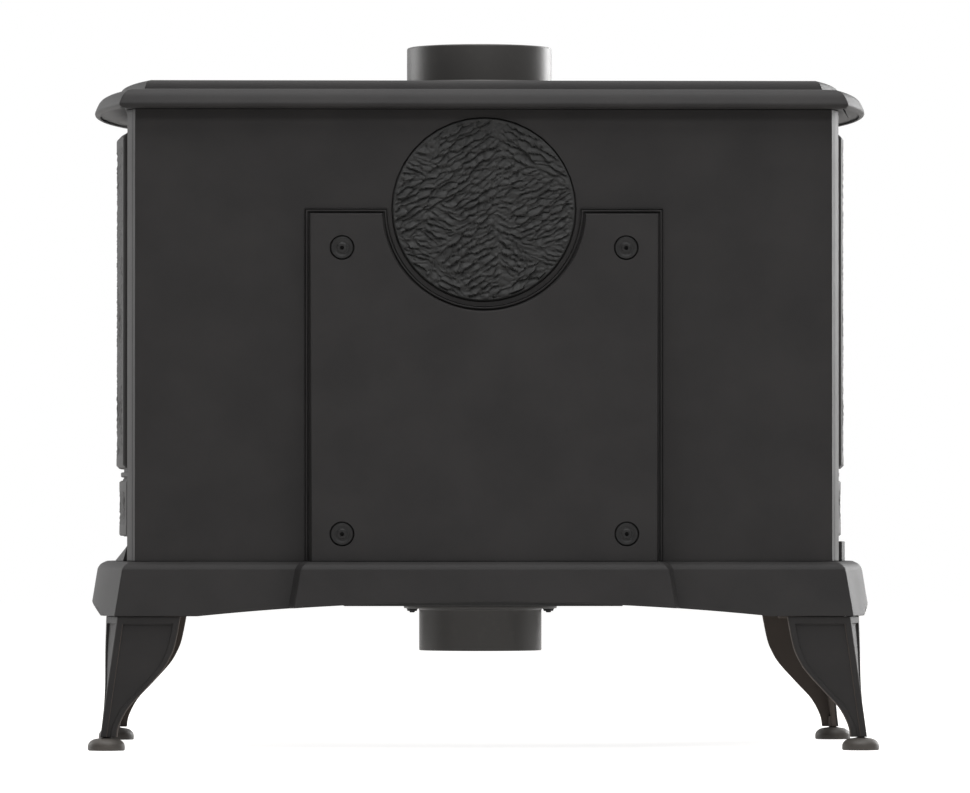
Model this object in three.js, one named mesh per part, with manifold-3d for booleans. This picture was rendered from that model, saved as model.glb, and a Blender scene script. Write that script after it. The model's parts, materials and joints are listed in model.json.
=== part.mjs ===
// A free-standing cast-iron wood stove on four cabriole legs, in millimetres.
// +Z is up, the fire door faces -Y, and the origin is on the floor under the middle of the body.

import * as THREE from 'three';
import { mergeVertices } from 'three/addons/utils/BufferGeometryUtils.js';
import Module from 'manifold-3d';

const wasm = await Module();
wasm.setup();

// Fits
const seat = 0.3;              // left between two castings that rest on each other
const running = 0.6;           // left round a part that slides or turns
const screwFit = 0.3;          // radial room round a screw in its hole
const past = 5;                // how far a cutting solid runs past what it cuts
const roundSides = 36;         // sides of the pipes and the outlet cover

// Body
const bodyHalfWidth = 348.6;   // front and rear faces, out to their vertical edges
const bodyHalfDepth = 200;     // centre of the body to the outside of the front and rear walls
const bodyHeight = 453;        // top of the plinth to the underside of the top plate
const castWall = 6;            // side walls, plinth and top plate skins
const rearThickness = 8;
const frontThickness = 10;
const cornerSetout = 8.4;      // the corner facets carry the side walls out by this much
const cornerDepth = 25;        // and are this long, measured along the depth
const sideBow = 18.5;          // how far the side panels bow out at mid-depth

// Side wall panels, heights above the plinth
const zoneBottom = 25;         // the bowed zone, between the lower and the upper neck
const zoneTop = bodyHeight - 19;
const panelHalfDepth = 150;    // half length of the raised panels
const grooveWidth = 4;
const grooveDepth = 3.2;
const tallPanel = { bottom: 94, top: bodyHeight - 22.5, proud: 4.6, bevel: 3 };
const shortPanel = { bottom: 25.6, top: 81.5, proud: 1.6, bevel: 1.4 };
const sill = { height: 20, proud: 5.7, halfDepth: 156, slope: 14 };
const ledge = { halfDepth: 140, width: 14, height: 10 };

// Plinth
const plinthTop = 188.5;       // above the floor
const plinthBow = 30;
const plinthOverhang = { side: 20, end: 20 };   // bottom edge past the body
const plinthProfile = [[0, 0], [3.6, 22], [7, 43], [8.2, 47.8], [11.4, 51.8], [17, 54.5]];
const plinthSkin = 8;
const plinthDraft = 7;         // the inside leans in by this much up to the skirt's shoulder
const archHalfWidth = 286;
const archRise = 14.5;
const sideArchHalfDepth = 150;
const sideArchRise = 13;
const bumpHalfWidth = { top: 178.5, bottom: 192 };
const bumpReach = 27;          // the raised middle segment stands this far behind the skirt
const bumpDraft = 5;
const floorWindow = { halfWidth: 300, halfDepth: 182 };

// Legs and feet
const legSetback = 3;          // leg faces behind the plinth's bottom edge
const legSplay = 17.3;         // outward lean to the side
const legTuck = 7;             // inward lean to the front or rear
const legCurve = [             // share of the height, width of the end face
  [0, 17], [0.12, 21], [0.22, 26], [0.305, 33.5], [0.4, 44], [0.5, 54], [0.62, 61.5], [0.75, 66], [1, 68],
];
const sideFaceShare = 0.8;     // width of the side face over that of the end face
const legSkin = 7;
const legBorder = 6.5;
const legRecess = 1.3;
const legHead = { drop: 7.2, width: 43, depth: 37, height: 6 };   // solid top that the plinth rests on
const footInset = { side: 6, end: 8.5 };          // middle of the foot inside the leg's corner
const padRadius = 18.5;
const padHeight = 13;
const stemRadius = 5;
const stemLength = 17;         // part of the stem inside the leg
const stemRoom = 5;            // left above the stem for levelling
const stemBoss = 2.4;          // metal round the stem's hole

// Top plate
const plateOverhang = { side: 15.4, end: 15 };
const plateBow = 30;
const plateProfile = [         // inset and rise: the rolled rim, the lower tier and the upper tier
  [3.5, 0], [1, 1.5], [0, 4], [1.4, 8], [3.4, 12.4], [5.6, 15.4], [8.6, 17.6], [13.4, 19.3],
  [24.6, 19.6], [25.8, 24], [27.6, 27.4], [30.8, 29.2],
];
const plateRim = 6;
const plateSkin = 9;
const eaveHeight = 11;         // depth of the hollow behind the rim

// Flue
const flueRadius = 74.3;
const collarLength = 43.5;
const flueWall = 5;
const collarFlange = { lap: 21.7, height: 6, boltLap: 10.7, draft: 1 };
const smallScrew = { radius: 3, head: 5.8, headHeight: 4 };   // collar screws and spigot bolts
const flueCentre = 0;          // along the depth

// Rear outlet, its cover and the heat shield
const outletHeight = bodyHeight - 101;            // above the plinth
const outletRadius = 80;
const coverLap = 11;
const coverThickness = 6;
const coverRecess = 3;
const coverGap = 1.5;
const clamp = {
  lap: 16, thickness: 6, halfHeight: 11, boltRadius: 4, bossRadius: 12, headRadius: 7.5, headHeight: 6,
};
const shield = {
  halfWidth: 179.4, top: outletHeight + 1, cutGap: 5.4, slope: 6, topSlope: 5,
  proudTop: 10, proudBottom: 25, skin: 4,
};
const shieldScrew = {
  x: 142, low: 27.5, high: shield.top - 39.5, headRadius: 11.5, head: 3.4, shankRadius: 3, socket: 2.3,
  boss: 3,                     // metal round the sunk head
  room: 0.9,                   // dark gap round it
};

// Air inlet
const airBox = { halfWidth: 140, front: -40, rear: 172, height: 44.9, skin: 2, lip: 12 };
const inlet = { radius: 62.4, wall: 3, length: 45.8, depth: 44, flangeLap: 15.6, flange: 3, boltLap: 7.1 };
const airSlot = { halfWidth: 60, front: 124, rear: 160 };
const bottomThickness = 6;

// Firebox
const fireFloor = 84;          // underside of the firebox floor above the plinth
const fireFloorThickness = 8;
const grateSize = { halfWidth: 110, halfDepth: 62, thickness: 10, bar: 9, slots: 9 };
const grateLedge = 3;          // thickness of the ledge that carries the grate
const grateLap = 8;            // and its width
const linerThickness = 25;
const linerGap = 8;            // air gap behind the side liners
const linerHeight = bodyHeight - 293;             // just below the rear outlet
const linerFrontHeight = linerHeight + 76;
const linerFront = -168;
const baffleThickness = 16;
const baffleSeat = 0.5;        // left between the baffle and the liners that carry it
const baffleFront = -66;
const guard = {
  halfWidth: 236, depth: -166, bottom: 14, height: 46, thickness: 5,
  foot: { halfLength: 14, reach: 26, top: 16 },
};

// Fire door
const doorOpening = { halfWidth: 255, bottom: 111.5, top: bodyHeight - 51.5 };
const doorLap = 24;            // door past the opening on every side
const doorThickness = 16;
const doorGap = 1;             // between the door and the front frame
const doorBevel = 4;
const windowInset = 33;        // glass opening inside the frame's opening
const windowSplay = 6;         // the window widens to the front by this much
const glassThickness = 4;
const glassLap = 14;
const clip = { halfWidth: 9, thickness: 2, upper: 10, lower: 9, screwRadius: 4 };
const clipSetout = 2;          // middle of a clip outside the glass rebate
const ropeWidth = 11;
const ropeDepth = 10;          // depth of its channel in the door
const ropeOffset = 6;          // middle of the rope past the opening
const ridge = { width: 4, height: 4 };
const hingeOffset = 17;        // hinge axis past the edge of the door
const hingeRadius = 8;
const hingeLength = 16;
const hingeInset = 50;         // hinge from the upper or lower edge of the door
const pinRadius = 4;
const pinHead = { radius: 6.5, height: 4 };

// Handle and keeper
const ear = { reach: 20, halfHeight: 16, thickness: 8 };
const handle = {
  shaftRadius: 5, shaftEnd: 8, hubRadius: 10, leverLength: 112, gripLength: 86, gripRadius: 9.5, reach: 45.6,
};
const tongue = { length: 16, heel: 8, halfWidth: 5, thickness: 4 };
const keeper = { halfHeight: 14, foot: 20, plate: 3, lip: 4, pocket: 9 };

// Ash drawer and air controls
const ashOpening = { halfWidth: 150, bottom: 8, top: 74 };
const drawer = {
  rear: 112, skin: 2, height: 58, faceLap: { side: 10, below: 4, above: 8 }, faceThickness: 8,
  fieldInset: 20, fieldProud: 2.5,
};
const damperRod = { x: 200, radius: 4, reach: 216 };
const damperThickness = 2;
const damperLap = 5;           // shutter past its slot
const knobRadius = 11;
const knobSetout = 6;          // airwash knob in front of the frame
const airwash = {
  halfLength: 196, thickness: 2, halfHeight: 7, studRadius: 3, travel: 20,
  slotPlaces: [-150, -90, 90, 150], slotHalfLength: 16, slotHalfHeight: 3, knobRadius: 7, knobThickness: 8,
};

// Heights that follow from the ones above
const plinthBottom = plinthTop - plinthProfile.at(-1)[1];
const bodyTop = plinthTop + bodyHeight;
const plateTop = bodyTop + plateProfile.at(-1)[1];
const flueTop = plateTop + seat + collarLength;
const airBoxBottom = plinthTop - airBox.height;
const spigotBottom = airBoxBottom - seat - inlet.length;
const sideFace = bodyHalfWidth + cornerSetout;
const frontFace = -bodyHalfDepth;
const rearInside = bodyHalfDepth - rearThickness;
const frontInside = frontFace + frontThickness;
const outletZ = plinthTop + outletHeight;
const coverRadius = outletRadius + coverLap;
const cutRadius = coverRadius + shield.cutGap;

// ---- Making solids ----

// A closed three.js geometry as a solid that can be joined and cut
function solid(geometry) {
  const bare = geometry.index ? geometry.toNonIndexed() : geometry;
  bare.deleteAttribute('normal');
  bare.deleteAttribute('uv');
  const merged = mergeVertices(bare, 1e-4);
  return new wasm.Manifold(new wasm.Mesh({
    numProp: 3,
    vertProperties: new Float32Array(merged.attributes.position.array),
    triVerts: new Uint32Array(merged.index.array),
  }));
}

function box([x0, x1], [y0, y1], [z0, z1]) {
  const geometry = new THREE.BoxGeometry(x1 - x0, y1 - y0, z1 - z0);
  return solid(geometry.translate((x0 + x1) / 2, (y0 + y1) / 2, (z0 + z1) / 2));
}

// Upright cylinder or cone between two heights
function post([x, y], [z0, z1], radius, topRadius = radius, sides = 32) {
  const geometry = new THREE.CylinderGeometry(topRadius, radius, z1 - z0, sides);
  return solid(geometry.rotateX(Math.PI / 2).translate(x, y, (z0 + z1) / 2));
}

// Cylinder along the depth, between two values of Y
function rod([x, z], [y0, y1], radius, sides = 32) {
  const geometry = new THREE.CylinderGeometry(radius, radius, y1 - y0, sides);
  return solid(geometry.translate(x, (y0 + y1) / 2, z));
}

// Six-sided bolt head along the depth, radius measured to the corners
const hexRod = (at, span, radius) => rod(at, span, radius, 6);
const hexPost = (at, span, radius) => post(at, span, radius, radius, 6);

// Turned piece: [radius, height] points, starting and ending on the axis
function turned(points, sides = 32) {
  const profile = points.map(([r, z]) => new THREE.Vector2(r, z));
  return solid(new THREE.LatheGeometry(profile, sides).rotateX(Math.PI / 2));
}

// Skin through a stack of rings that run anticlockwise seen from above, closed at both ends
function loft(rings) {
  const count = rings[0].length;
  const last = (rings.length - 1) * count;
  const index = [];
  for (let ring = 0; ring + 1 < rings.length; ring++) {
    for (let i = 0; i < count; i++) {
      const a = ring * count + i;
      const b = ring * count + (i + 1) % count;
      index.push(a, b, b + count, a, b + count, a + count);
    }
  }
  const flat = rings[0].map((p) => new THREE.Vector2(p.x, p.y));
  for (const [a, b, c] of THREE.ShapeUtils.triangulateShape(flat, [])) {
    index.push(a, c, b, last + a, last + b, last + c);
  }
  const geometry = new THREE.BufferGeometry();
  const places = rings.flat().flatMap((p) => [p.x, p.y, p.z]);
  geometry.setAttribute('position', new THREE.Float32BufferAttribute(places, 3));
  geometry.setIndex(index);
  return solid(geometry);
}

const ringAt = (outline, z) => outline.map(([x, y]) => new THREE.Vector3(x, y, z));
const prism = (outline, [z0, z1]) => loft([ringAt(outline, z0), ringAt(outline, z1)]);

// Flat outline with holes, given a thickness along +Z
function extruded(outline, thickness, holes) {
  const flat = (points) => points.map(([a, b]) => new THREE.Vector2(a, b));
  const shape = new THREE.Shape(flat(outline));
  shape.holes = holes.map((hole) => new THREE.Path(flat(hole)));
  return new THREE.ExtrudeGeometry(shape, { depth: thickness, bevelEnabled: false });
}

// Outline drawn in X and Z, given thickness along the depth from y0 to y1
function upright(outline, [y0, y1], holes = []) {
  return solid(extruded(outline, y1 - y0, holes).rotateX(Math.PI / 2).translate(0, y1, 0));
}

// Outline drawn in plan, with holes, between two heights
function slab(outline, [z0, z1], holes = []) {
  return solid(extruded(outline, z1 - z0, holes).translate(0, 0, z0));
}

const rectangle = (halfWidth, z0, z1) => [
  [-halfWidth, z0], [halfWidth, z0], [halfWidth, z1], [-halfWidth, z1],
];

// Rectangular slab facing the front, with its front edges bevelled
function facedSlab(halfWidth, [z0, z1], [front, back], bevel) {
  const rings = [[bevel, front], [0, front + bevel], [0, back]].map(([inset, y]) => (
    rectangle(halfWidth - inset, z0 + inset, z1 - inset).map(([x, z]) => new THREE.Vector3(x, z, -y))
  ));
  return loft(rings.reverse()).rotate([90, 0, 0]);
}

const mirrorX = (shape) => shape.mirror([1, 0, 0]);
const mirrorY = (shape) => shape.mirror([0, 1, 0]);
const joined = (...shapes) => shapes.reduce((sum, shape) => sum.add(shape));
const cutFrom = (shape, cuts) => cuts.reduce((rest, cut) => rest.subtract(cut), shape);

// Straight holes of one radius, upright or along the depth
const uprightHole = (at, span, radius, sides) => post(at, span, radius, radius, sides);

// ---- Finishes ----

const finishes = {
  castPaint: { color: 0x343231, roughness: 0.62, metalness: 0.1 },
  roughCast: { color: 0x3c3d3f, roughness: 0.7, metalness: 0.1 },
  bareCast: { color: 0x4a4542, roughness: 0.75, metalness: 0.4 },
  sheetSteel: { color: 0x3a3a3a, roughness: 0.55, metalness: 0.5 },
  blackSteel: { color: 0x2b2b2c, roughness: 0.45, metalness: 0.6 },
  flueSteel: { color: 0x4a4948, roughness: 0.55, metalness: 0.4 },
  ceramicGlass: { color: 0x2a2420, roughness: 0.05, metalness: 0 },
  rope: { color: 0x8d8a84, roughness: 1, metalness: 0 },
  vermiculite: { color: 0xb59a6a, roughness: 0.95, metalness: 0 },
  footIron: { color: 0x4f4a45, roughness: 0.6, metalness: 0.3 },
};

const stove = new THREE.Group();

// Gives a solid its name and finish, and hangs it in a group
function addPiece(name, shape, finish, parent = stove) {
  const { vertProperties, triVerts } = shape.getMesh();
  const geometry = new THREE.BufferGeometry();
  geometry.setAttribute('position', new THREE.BufferAttribute(new Float32Array(vertProperties), 3));
  geometry.setIndex(new THREE.BufferAttribute(new Uint32Array(triVerts), 1));
  geometry.computeVertexNormals();
  const mesh = new THREE.Mesh(geometry, new THREE.MeshStandardMaterial(finishes[finish]));
  mesh.name = name;
  parent.add(mesh);
  return mesh;
}

function groupAt(x, y, z, parent = stove) {
  const group = new THREE.Group();
  group.position.set(x, y, z);
  parent.add(group);
  return group;
}

// ---- Plan outlines ----

// Straight front and rear edges, sides swept out to a soft peak at mid-depth
function bowedOutline(halfWidth, halfDepth, bow) {
  const steps = 8;
  const points = [];
  for (const side of [1, -1]) {
    for (let i = 0; i <= steps; i++) {
      const t = 2 * i / steps - 1;
      points.push([side * (halfWidth + bow * (1 - t * t)), side * t * halfDepth]);
    }
  }
  return points;
}

// A stack of bowed outlines, each inset from the lowest one: [inset, height]
function bowedStack(halfWidth, halfDepth, bow, profile, z) {
  return loft(profile.map(([inset, rise]) => (
    ringAt(bowedOutline(halfWidth - inset, halfDepth - inset, bow), z + rise)
  )));
}

// Outer face of the body at depth y: a facet at each corner, flat between them
const facetX = (y) => bodyHalfWidth + cornerSetout * Math.min(1, (bodyHalfDepth - Math.abs(y)) / cornerDepth);

// The bowed zone of a side wall, where it stands outside the flat neck
const bowX = (y) => bodyHalfWidth + sideBow * (1 - (y / bodyHalfDepth) ** 2);

// Plan of a strip along the right-hand side: outer face from a formula, inner face set in
function sideStrip([y0, y1], outer, inner) {
  const steps = 8;
  const at = (i) => y0 + (y1 - y0) * i / steps;
  const out = Array.from({ length: steps + 1 }, (_, i) => [outer(at(i)), at(i)]);
  const back = Array.from({ length: steps + 1 }, (_, i) => [inner(at(steps - i)), at(steps - i)]);
  return [...out, ...back];
}

// ---- Plinth ----

const plinthHalfWidth = bodyHalfWidth + plinthOverhang.side;
const plinthHalfDepth = bodyHalfDepth + plinthOverhang.end;

// Raised middle segment of the rear skirt, following the skirt's profile
function plinthBump(inset) {
  const full = plinthProfile.at(-1)[1];
  const inside = plinthHalfDepth - 40;
  const rings = plinthProfile.map(([offset, rise]) => {
    const root = THREE.MathUtils.lerp(bumpHalfWidth.bottom, bumpHalfWidth.top, rise / full) - inset;
    const face = plinthHalfDepth + bumpReach - offset - inset;
    const shoulder = face - bumpReach + bumpDraft;
    return ringAt([[-root, inside], [root, inside], [root, shoulder], [root - bumpDraft, face],
      [bumpDraft - root, face], [-root, shoulder]], plinthBottom + rise);
  });
  return loft(rings);
}

// What an arch takes away below the skirt: a long shallow segment of a circle
function archCut(halfChord, rise, halfLength) {
  const radius = (halfChord ** 2 + rise ** 2) / (2 * rise);
  const half = Math.asin(halfChord / radius);
  const steps = 18;
  const crown = Array.from({ length: steps + 1 }, (_, i) => {
    const angle = half - 2 * half * i / steps;
    return [radius * Math.sin(angle), plinthBottom + rise - radius * (1 - Math.cos(angle))];
  });
  const below = plinthBottom - past;
  return upright([[-halfChord, below], [halfChord, below], ...crown], [-halfLength, halfLength]);
}

function plinth() {
  const outside = bowedStack(plinthHalfWidth, plinthHalfDepth, plinthBow, plinthProfile, plinthBottom);
  const [, shoulder] = plinthProfile[2];
  const hollowTop = plinthTop - plinthBottom - plinthSkin;
  const hollowProfile = [[plinthSkin, -past], [plinthSkin, 0], [plinthSkin + plinthDraft, shoulder],
    [plinthSkin + plinthDraft + 2, hollowTop]];
  const hollow = bowedStack(plinthHalfWidth, plinthHalfDepth, plinthBow, hollowProfile, plinthBottom);
  const reach = plinthHalfDepth + bumpReach + past;
  const bumpHollow = plinthBump(plinthSkin).intersect(
    box([-plinthHalfWidth, plinthHalfWidth], [0, reach], [plinthBottom - past, plinthTop - plinthSkin]),
  );
  const window = box([-floorWindow.halfWidth, floorWindow.halfWidth],
    [-floorWindow.halfDepth, floorWindow.halfDepth], [plinthBottom, plinthTop + past]);
  const endArch = archCut(archHalfWidth, archRise, reach);
  const sideArch = archCut(sideArchHalfDepth, sideArchRise, 2 * plinthHalfWidth).rotate([0, 0, 90]);
  return cutFrom(outside.add(plinthBump(0)), [hollow, bumpHollow, window, endArch, sideArch]);
}

// ---- Legs and feet ----

const legTop = plinthBottom - seat;
const legFoot = padHeight + seat;
const legLean = (z) => (legTop - z) / (legTop - legFoot);
const legCornerX = (z) => plinthHalfWidth - legSetback + legSplay * legLean(z);
const legCornerY = (z) => plinthHalfDepth - legSetback - legTuck * legLean(z);
const footAt = [legCornerX(legFoot) - footInset.side, legCornerY(legFoot) - footInset.end];
const legHeights = legCurve.map(([share]) => THREE.MathUtils.lerp(legFoot, legTop, share));

// Leg face width at a height, from the S-curve of its inner edge
function legWidth(z) {
  const share = 1 - legLean(z);
  const next = Math.max(1, legCurve.findIndex(([end]) => end >= share));
  const [s0, w0] = legCurve[next - 1];
  const [s1, w1] = legCurve[next];
  return w0 + (w1 - w0) * (share - s0) / (s1 - s0);
}

// Direction of the side face: it follows the plinth's edge forward from the corner
const sideFaceTop = sideFaceShare * legCurve.at(-1)[1];
const sideSlope = plinthBow * (1 - ((plinthHalfDepth - sideFaceTop) / plinthHalfDepth) ** 2) / sideFaceTop;
const sidePoint = (z, along, inward) => [
  legCornerX(z) + along * sideSlope * (1 - legLean(z)) - inward, legCornerY(z) - along,
];

// Angle-shaped section of the rear right leg
function legSection(z) {
  const cornerX = legCornerX(z);
  const cornerY = legCornerY(z);
  const width = legWidth(z);
  const round = 1.5;
  return [
    [cornerX - round, cornerY], [cornerX - width, cornerY], [cornerX - width, cornerY - legSkin],
    [cornerX - legSkin, cornerY - legSkin], sidePoint(z, width * sideFaceShare, legSkin),
    sidePoint(z, width * sideFaceShare, 0), [cornerX, cornerY - round],
  ];
}

// Sunk panels in the two faces, open at the foot, with a border along their edges
function legPanels() {
  const panelTop = legTop - legHead.drop;
  const heights = [legFoot - past, ...legHeights.filter((z) => z < panelTop), panelTop];
  const endPanel = heights.map((z) => {
    const outer = legCornerX(z) - legBorder;
    const inner = Math.min(outer - 1, legCornerX(z) - legWidth(z) + legBorder);
    const sunk = legCornerY(z) - legRecess;
    return ringAt([[inner, sunk], [outer, sunk], [outer, sunk + past], [inner, sunk + past]], z);
  });
  const sidePanel = heights.map((z) => {
    const far = Math.max(legBorder + 1, legWidth(z) * sideFaceShare - legBorder);
    return ringAt([sidePoint(z, far, legRecess), sidePoint(z, far, -past), sidePoint(z, legBorder, -past),
      sidePoint(z, legBorder, legRecess)], z);
  });
  return loft(endPanel).add(loft(sidePanel));
}

function leg() {
  const casting = loft(legHeights.map((z) => ringAt(legSection(z), z)));
  const stemTop = legFoot + stemLength;
  const boss = post(footAt, [legFoot, stemTop], stemRadius + stemBoss, stemRadius + stemBoss, 12);
  const corner = [legCornerX(legTop) - legSkin / 2, legCornerY(legTop) - legSkin / 2];
  const head = box([corner[0] - legHead.width, corner[0]], [corner[1] - legHead.depth, corner[1]],
    [legTop - legHead.height, legTop]);
  const bore = uprightHole(footAt, [legFoot - past, stemTop + stemRoom], stemRadius + screwFit, 12);
  return cutFrom(joined(casting, boss, head), [legPanels(), bore]);
}

// Round pad with a domed shoulder, on a stem that goes up into the leg
function foot() {
  const top = padHeight + stemLength;
  return turned([[0, 0], [padRadius, 0], [padRadius, 5], [padRadius - 1.6, 8.6], [padRadius - 5, 11],
    [stemRadius, padHeight], [stemRadius, top], [0, top]], 18);
}

function addLegsAndFeet() {
  const corners = [['rear_right', 1, 1], ['rear_left', -1, 1], ['front_right', 1, -1], ['front_left', -1, -1]];
  for (const [corner, toSide, toRear] of corners) {
    let shape = leg();
    if (toSide < 0) shape = mirrorX(shape);
    if (toRear < 0) shape = mirrorY(shape);
    addPiece(`leg_${corner}`, shape, 'castPaint');
    const group = groupAt(toSide * footAt[0], toRear * footAt[1], 0);
    addPiece(`foot_${corner}`, foot(), 'footIron', group);
  }
}

// ---- Walls ----

const wallSpan = [frontInside + seat, rearInside - seat];
const wallRise = [plinthTop + seat, bodyTop - seat];
const panelX = (proud) => (y) => bowX(y) + proud;
const wallRoot = () => sideFace - 4;           // pieces added to a side wall start inside its skin

// Raised panel: stepped in at its edges, standing on the bowed zone
function raisedPanel({ bottom, top, proud, bevel }) {
  const plan = (inset, out) => (
    sideStrip([inset - panelHalfDepth, panelHalfDepth - inset], panelX(out), wallRoot)
  );
  const [z0, z1] = [plinthTop + bottom, plinthTop + top];
  const core = prism(plan(bevel, proud), [z0 + bevel, z1 - bevel]);
  return core.add(prism(plan(0, proud - bevel), [z0, z1]));
}

// Groove round a raised panel
function panelGroove({ bottom, top }) {
  const [z0, z1] = [plinthTop + bottom, plinthTop + top];
  const beyond = (y) => bowX(y) + 4 * past;
  const floorOf = (y) => Math.max(facetX(y), bowX(y)) - grooveDepth;
  const outerHalf = panelHalfDepth + grooveWidth;
  const outer = sideStrip([-outerHalf, outerHalf], beyond, floorOf);
  const island = sideStrip([-panelHalfDepth, panelHalfDepth], beyond, () => bodyHalfWidth - 2 * past);
  return prism(outer, [z0 - grooveWidth, z1 + grooveWidth]).subtract(prism(island, [z0, z1]));
}

// Sill at the foot of a side wall: square on one side of the stove, sloping on the other
function wallSill(sloping) {
  const { height, proud, halfDepth, slope } = sill;
  const plan = (out) => sideStrip([-halfDepth, halfDepth], out, wallRoot);
  const upper = sloping ? (y) => Math.max(sideFace - 1, bowX(y) - slope) : panelX(proud);
  return loft([ringAt(plan(panelX(proud)), plinthTop + seat), ringAt(plan(upper), plinthTop + height)]);
}

// Ledge inside the wall that carries the firebox floor
function wallLedge() {
  const { halfDepth, width, height } = ledge;
  const top = plinthTop + fireFloor - seat;
  const plan = sideStrip([-halfDepth, halfDepth], (y) => bowX(y) - 2, () => sideFace - castWall - width);
  return prism(plan, [top - height, top]);
}

function rightWall(slopingSill) {
  const [y0, y1] = wallSpan;
  const inner = (y) => facetX(y) - castWall;
  const corners = [y0, cornerDepth - bodyHalfDepth, bodyHalfDepth - cornerDepth, y1];
  const neck = [...corners.map((y) => [facetX(y), y]), ...corners.toReversed().map((y) => [inner(y), y])];
  const swell = Math.sqrt(1 - cornerSetout / sideBow) * bodyHalfDepth;   // where the bow leaves the neck
  const zone = (offset, half) => sideStrip([-half, half], (y) => bowX(y) - offset, () => wallRoot() - offset);
  const [low, high] = [plinthTop + zoneBottom, plinthTop + zoneTop];
  const bulge = prism(zone(0, swell), [low, high]);
  const hollow = prism(zone(castWall, swell - 20), [low + castWall, high - castWall]);
  const skin = joined(prism(neck, wallRise), bulge, wallSill(slopingSill));
  return joined(cutFrom(skin, [panelGroove(tallPanel), panelGroove(shortPanel), hollow]),
    raisedPanel(tallPanel), raisedPanel(shortPanel), wallLedge());
}

// Plan of a front or rear wall: its vertical edges follow the corner facets
function endOutline(thickness) {
  const out = bodyHalfWidth;
  const back = facetX(bodyHalfDepth - thickness);
  return [[-out, bodyHalfDepth], [-back, bodyHalfDepth - thickness], [back, bodyHalfDepth - thickness],
    [out, bodyHalfDepth]];
}

function rearWall() {
  const through = [rearInside - past, bodyHalfDepth + past];
  const outlet = rod([0, outletZ], through, outletRadius, roundSides);
  const recessSpan = [bodyHalfDepth - coverRecess, through[1]];
  const recess = rod([0, outletZ], recessSpan, coverRadius + coverGap, roundSides);
  const screwHoles = shieldScrewPlaces().map((at) => rod(at, through, shieldScrew.shankRadius + screwFit, 12));
  return cutFrom(prism(endOutline(rearThickness), wallRise), [outlet, recess, ...screwHoles]);
}

// ---- Rear outlet cover and heat shield ----

// Disc with a ring behind it that centres it in the outlet, and a boss for its bolt
function outletCover() {
  const back = bodyHalfDepth - coverRecess + seat;
  const face = back + coverThickness;
  const edge = 1.5;
  const profile = [
    [0, back], [coverRadius, back], [coverRadius, face - edge], [coverRadius - edge, face], [0, face],
  ];
  const disc = turned(profile, roundSides).rotate([-90, 0, 0]).translate([0, 0, outletZ]);
  const spigotRadius = outletRadius - running;
  const spigot = rod([0, outletZ], [rearInside, back + 1], spigotRadius, roundSides)
    .subtract(rod([0, outletZ], [rearInside - past, back], spigotRadius - castWall, roundSides));
  const boss = rod([0, outletZ], [rearInside + 2, back + 1], clamp.bossRadius, 20);
  const hole = rod([0, outletZ], [rearInside - past, back + 2], clamp.boltRadius + screwFit, 16);
  return joined(disc, spigot, boss).subtract(hole);
}

const clampSpan = [rearInside - seat - clamp.thickness, rearInside - seat];

function clampBar() {
  const half = outletRadius + clamp.lap;
  const bar = box([-half, half], clampSpan, [outletZ - clamp.halfHeight, outletZ + clamp.halfHeight]);
  const hole = rod([0, outletZ], [clampSpan[0] - past, clampSpan[1] + past], clamp.boltRadius + screwFit, 16);
  return bar.subtract(hole);
}

function clampBolt() {
  const under = clampSpan[0] - seat;
  return hexRod([0, outletZ], [under - clamp.headHeight, under], clamp.headRadius)
    .add(rod([0, outletZ], [under - 1, bodyHalfDepth - 2], clamp.boltRadius, 16));
}

// Outline of the shield in X and Z, with the U-shaped cut round the outlet cover
function shieldOutline(inset, topInset, bottomInset = 0) {
  const halfWidth = shield.halfWidth - inset;
  const top = plinthTop + shield.top - topInset;
  const bottom = plinthTop + seat + bottomInset;
  const radius = cutRadius + inset;
  const start = Math.asin((outletZ - top) / radius);
  const steps = 20;
  const arc = Array.from({ length: steps + 1 }, (_, i) => {
    const angle = -start - (Math.PI - 2 * start) * i / steps;
    return [radius * Math.cos(angle), outletZ + radius * Math.sin(angle)];
  });
  return [[-halfWidth, bottom], [halfWidth, bottom], [halfWidth, top], ...arc, [-halfWidth, top]];
}

// How far the shield stands behind the wall at a height
function shieldProud(z) {
  const share = (plinthTop + shield.top - z) / shield.top;
  return THREE.MathUtils.lerp(shield.proudTop, shield.proudBottom, share);
}

// Solid between the wall and the shield's sloping face, drawn in X and Z
function shieldBody(inset, drop, bottomInset) {
  const wall = bodyHalfDepth + seat;
  const back = shieldOutline(inset, inset, bottomInset).map(([x, z]) => new THREE.Vector3(x, z, -wall + drop));
  const rim = shieldOutline(inset, inset, bottomInset).map(([x, z]) => new THREE.Vector3(x, z, -wall - 2));
  const face = shieldOutline(inset + shield.slope, inset + shield.topSlope, bottomInset).map(([x, z]) => (
    new THREE.Vector3(x, z, -wall - shieldProud(z) + drop)
  ));
  return loft([face, rim, back]).rotate([90, 0, 0]);
}

const shieldScrewPlaces = () => [[-1, 'low'], [1, 'low'], [-1, 'high'], [1, 'high']].map(
  ([side, row]) => [side * shieldScrew.x, plinthTop + shieldScrew[row]],
);
const shieldHeadFace = (z) => bodyHalfDepth + seat + shieldProud(z + shieldScrew.headRadius) - 0.4;

function heatShield() {
  const { headRadius, head, shankRadius, boss, room } = shieldScrew;
  const inside = shieldBody(shield.skin, shield.skin, -4 * past);
  const shell = shieldBody(0, 0, 0).subtract(inside);
  return shieldScrewPlaces().reduce((shape, [x, z]) => {
    const face = shieldHeadFace(z);
    const pillar = rod([x, z], [bodyHalfDepth + seat, face - head], headRadius + boss, 12);
    const sink = rod([x, z], [face - head - seat, face + 2 * past], headRadius + room, 16);
    const hole = rod([x, z], [bodyHalfDepth - past, face], shankRadius + screwFit, 12);
    return cutFrom(shape.add(pillar), [sink, hole]);
  }, shell);
}

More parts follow.
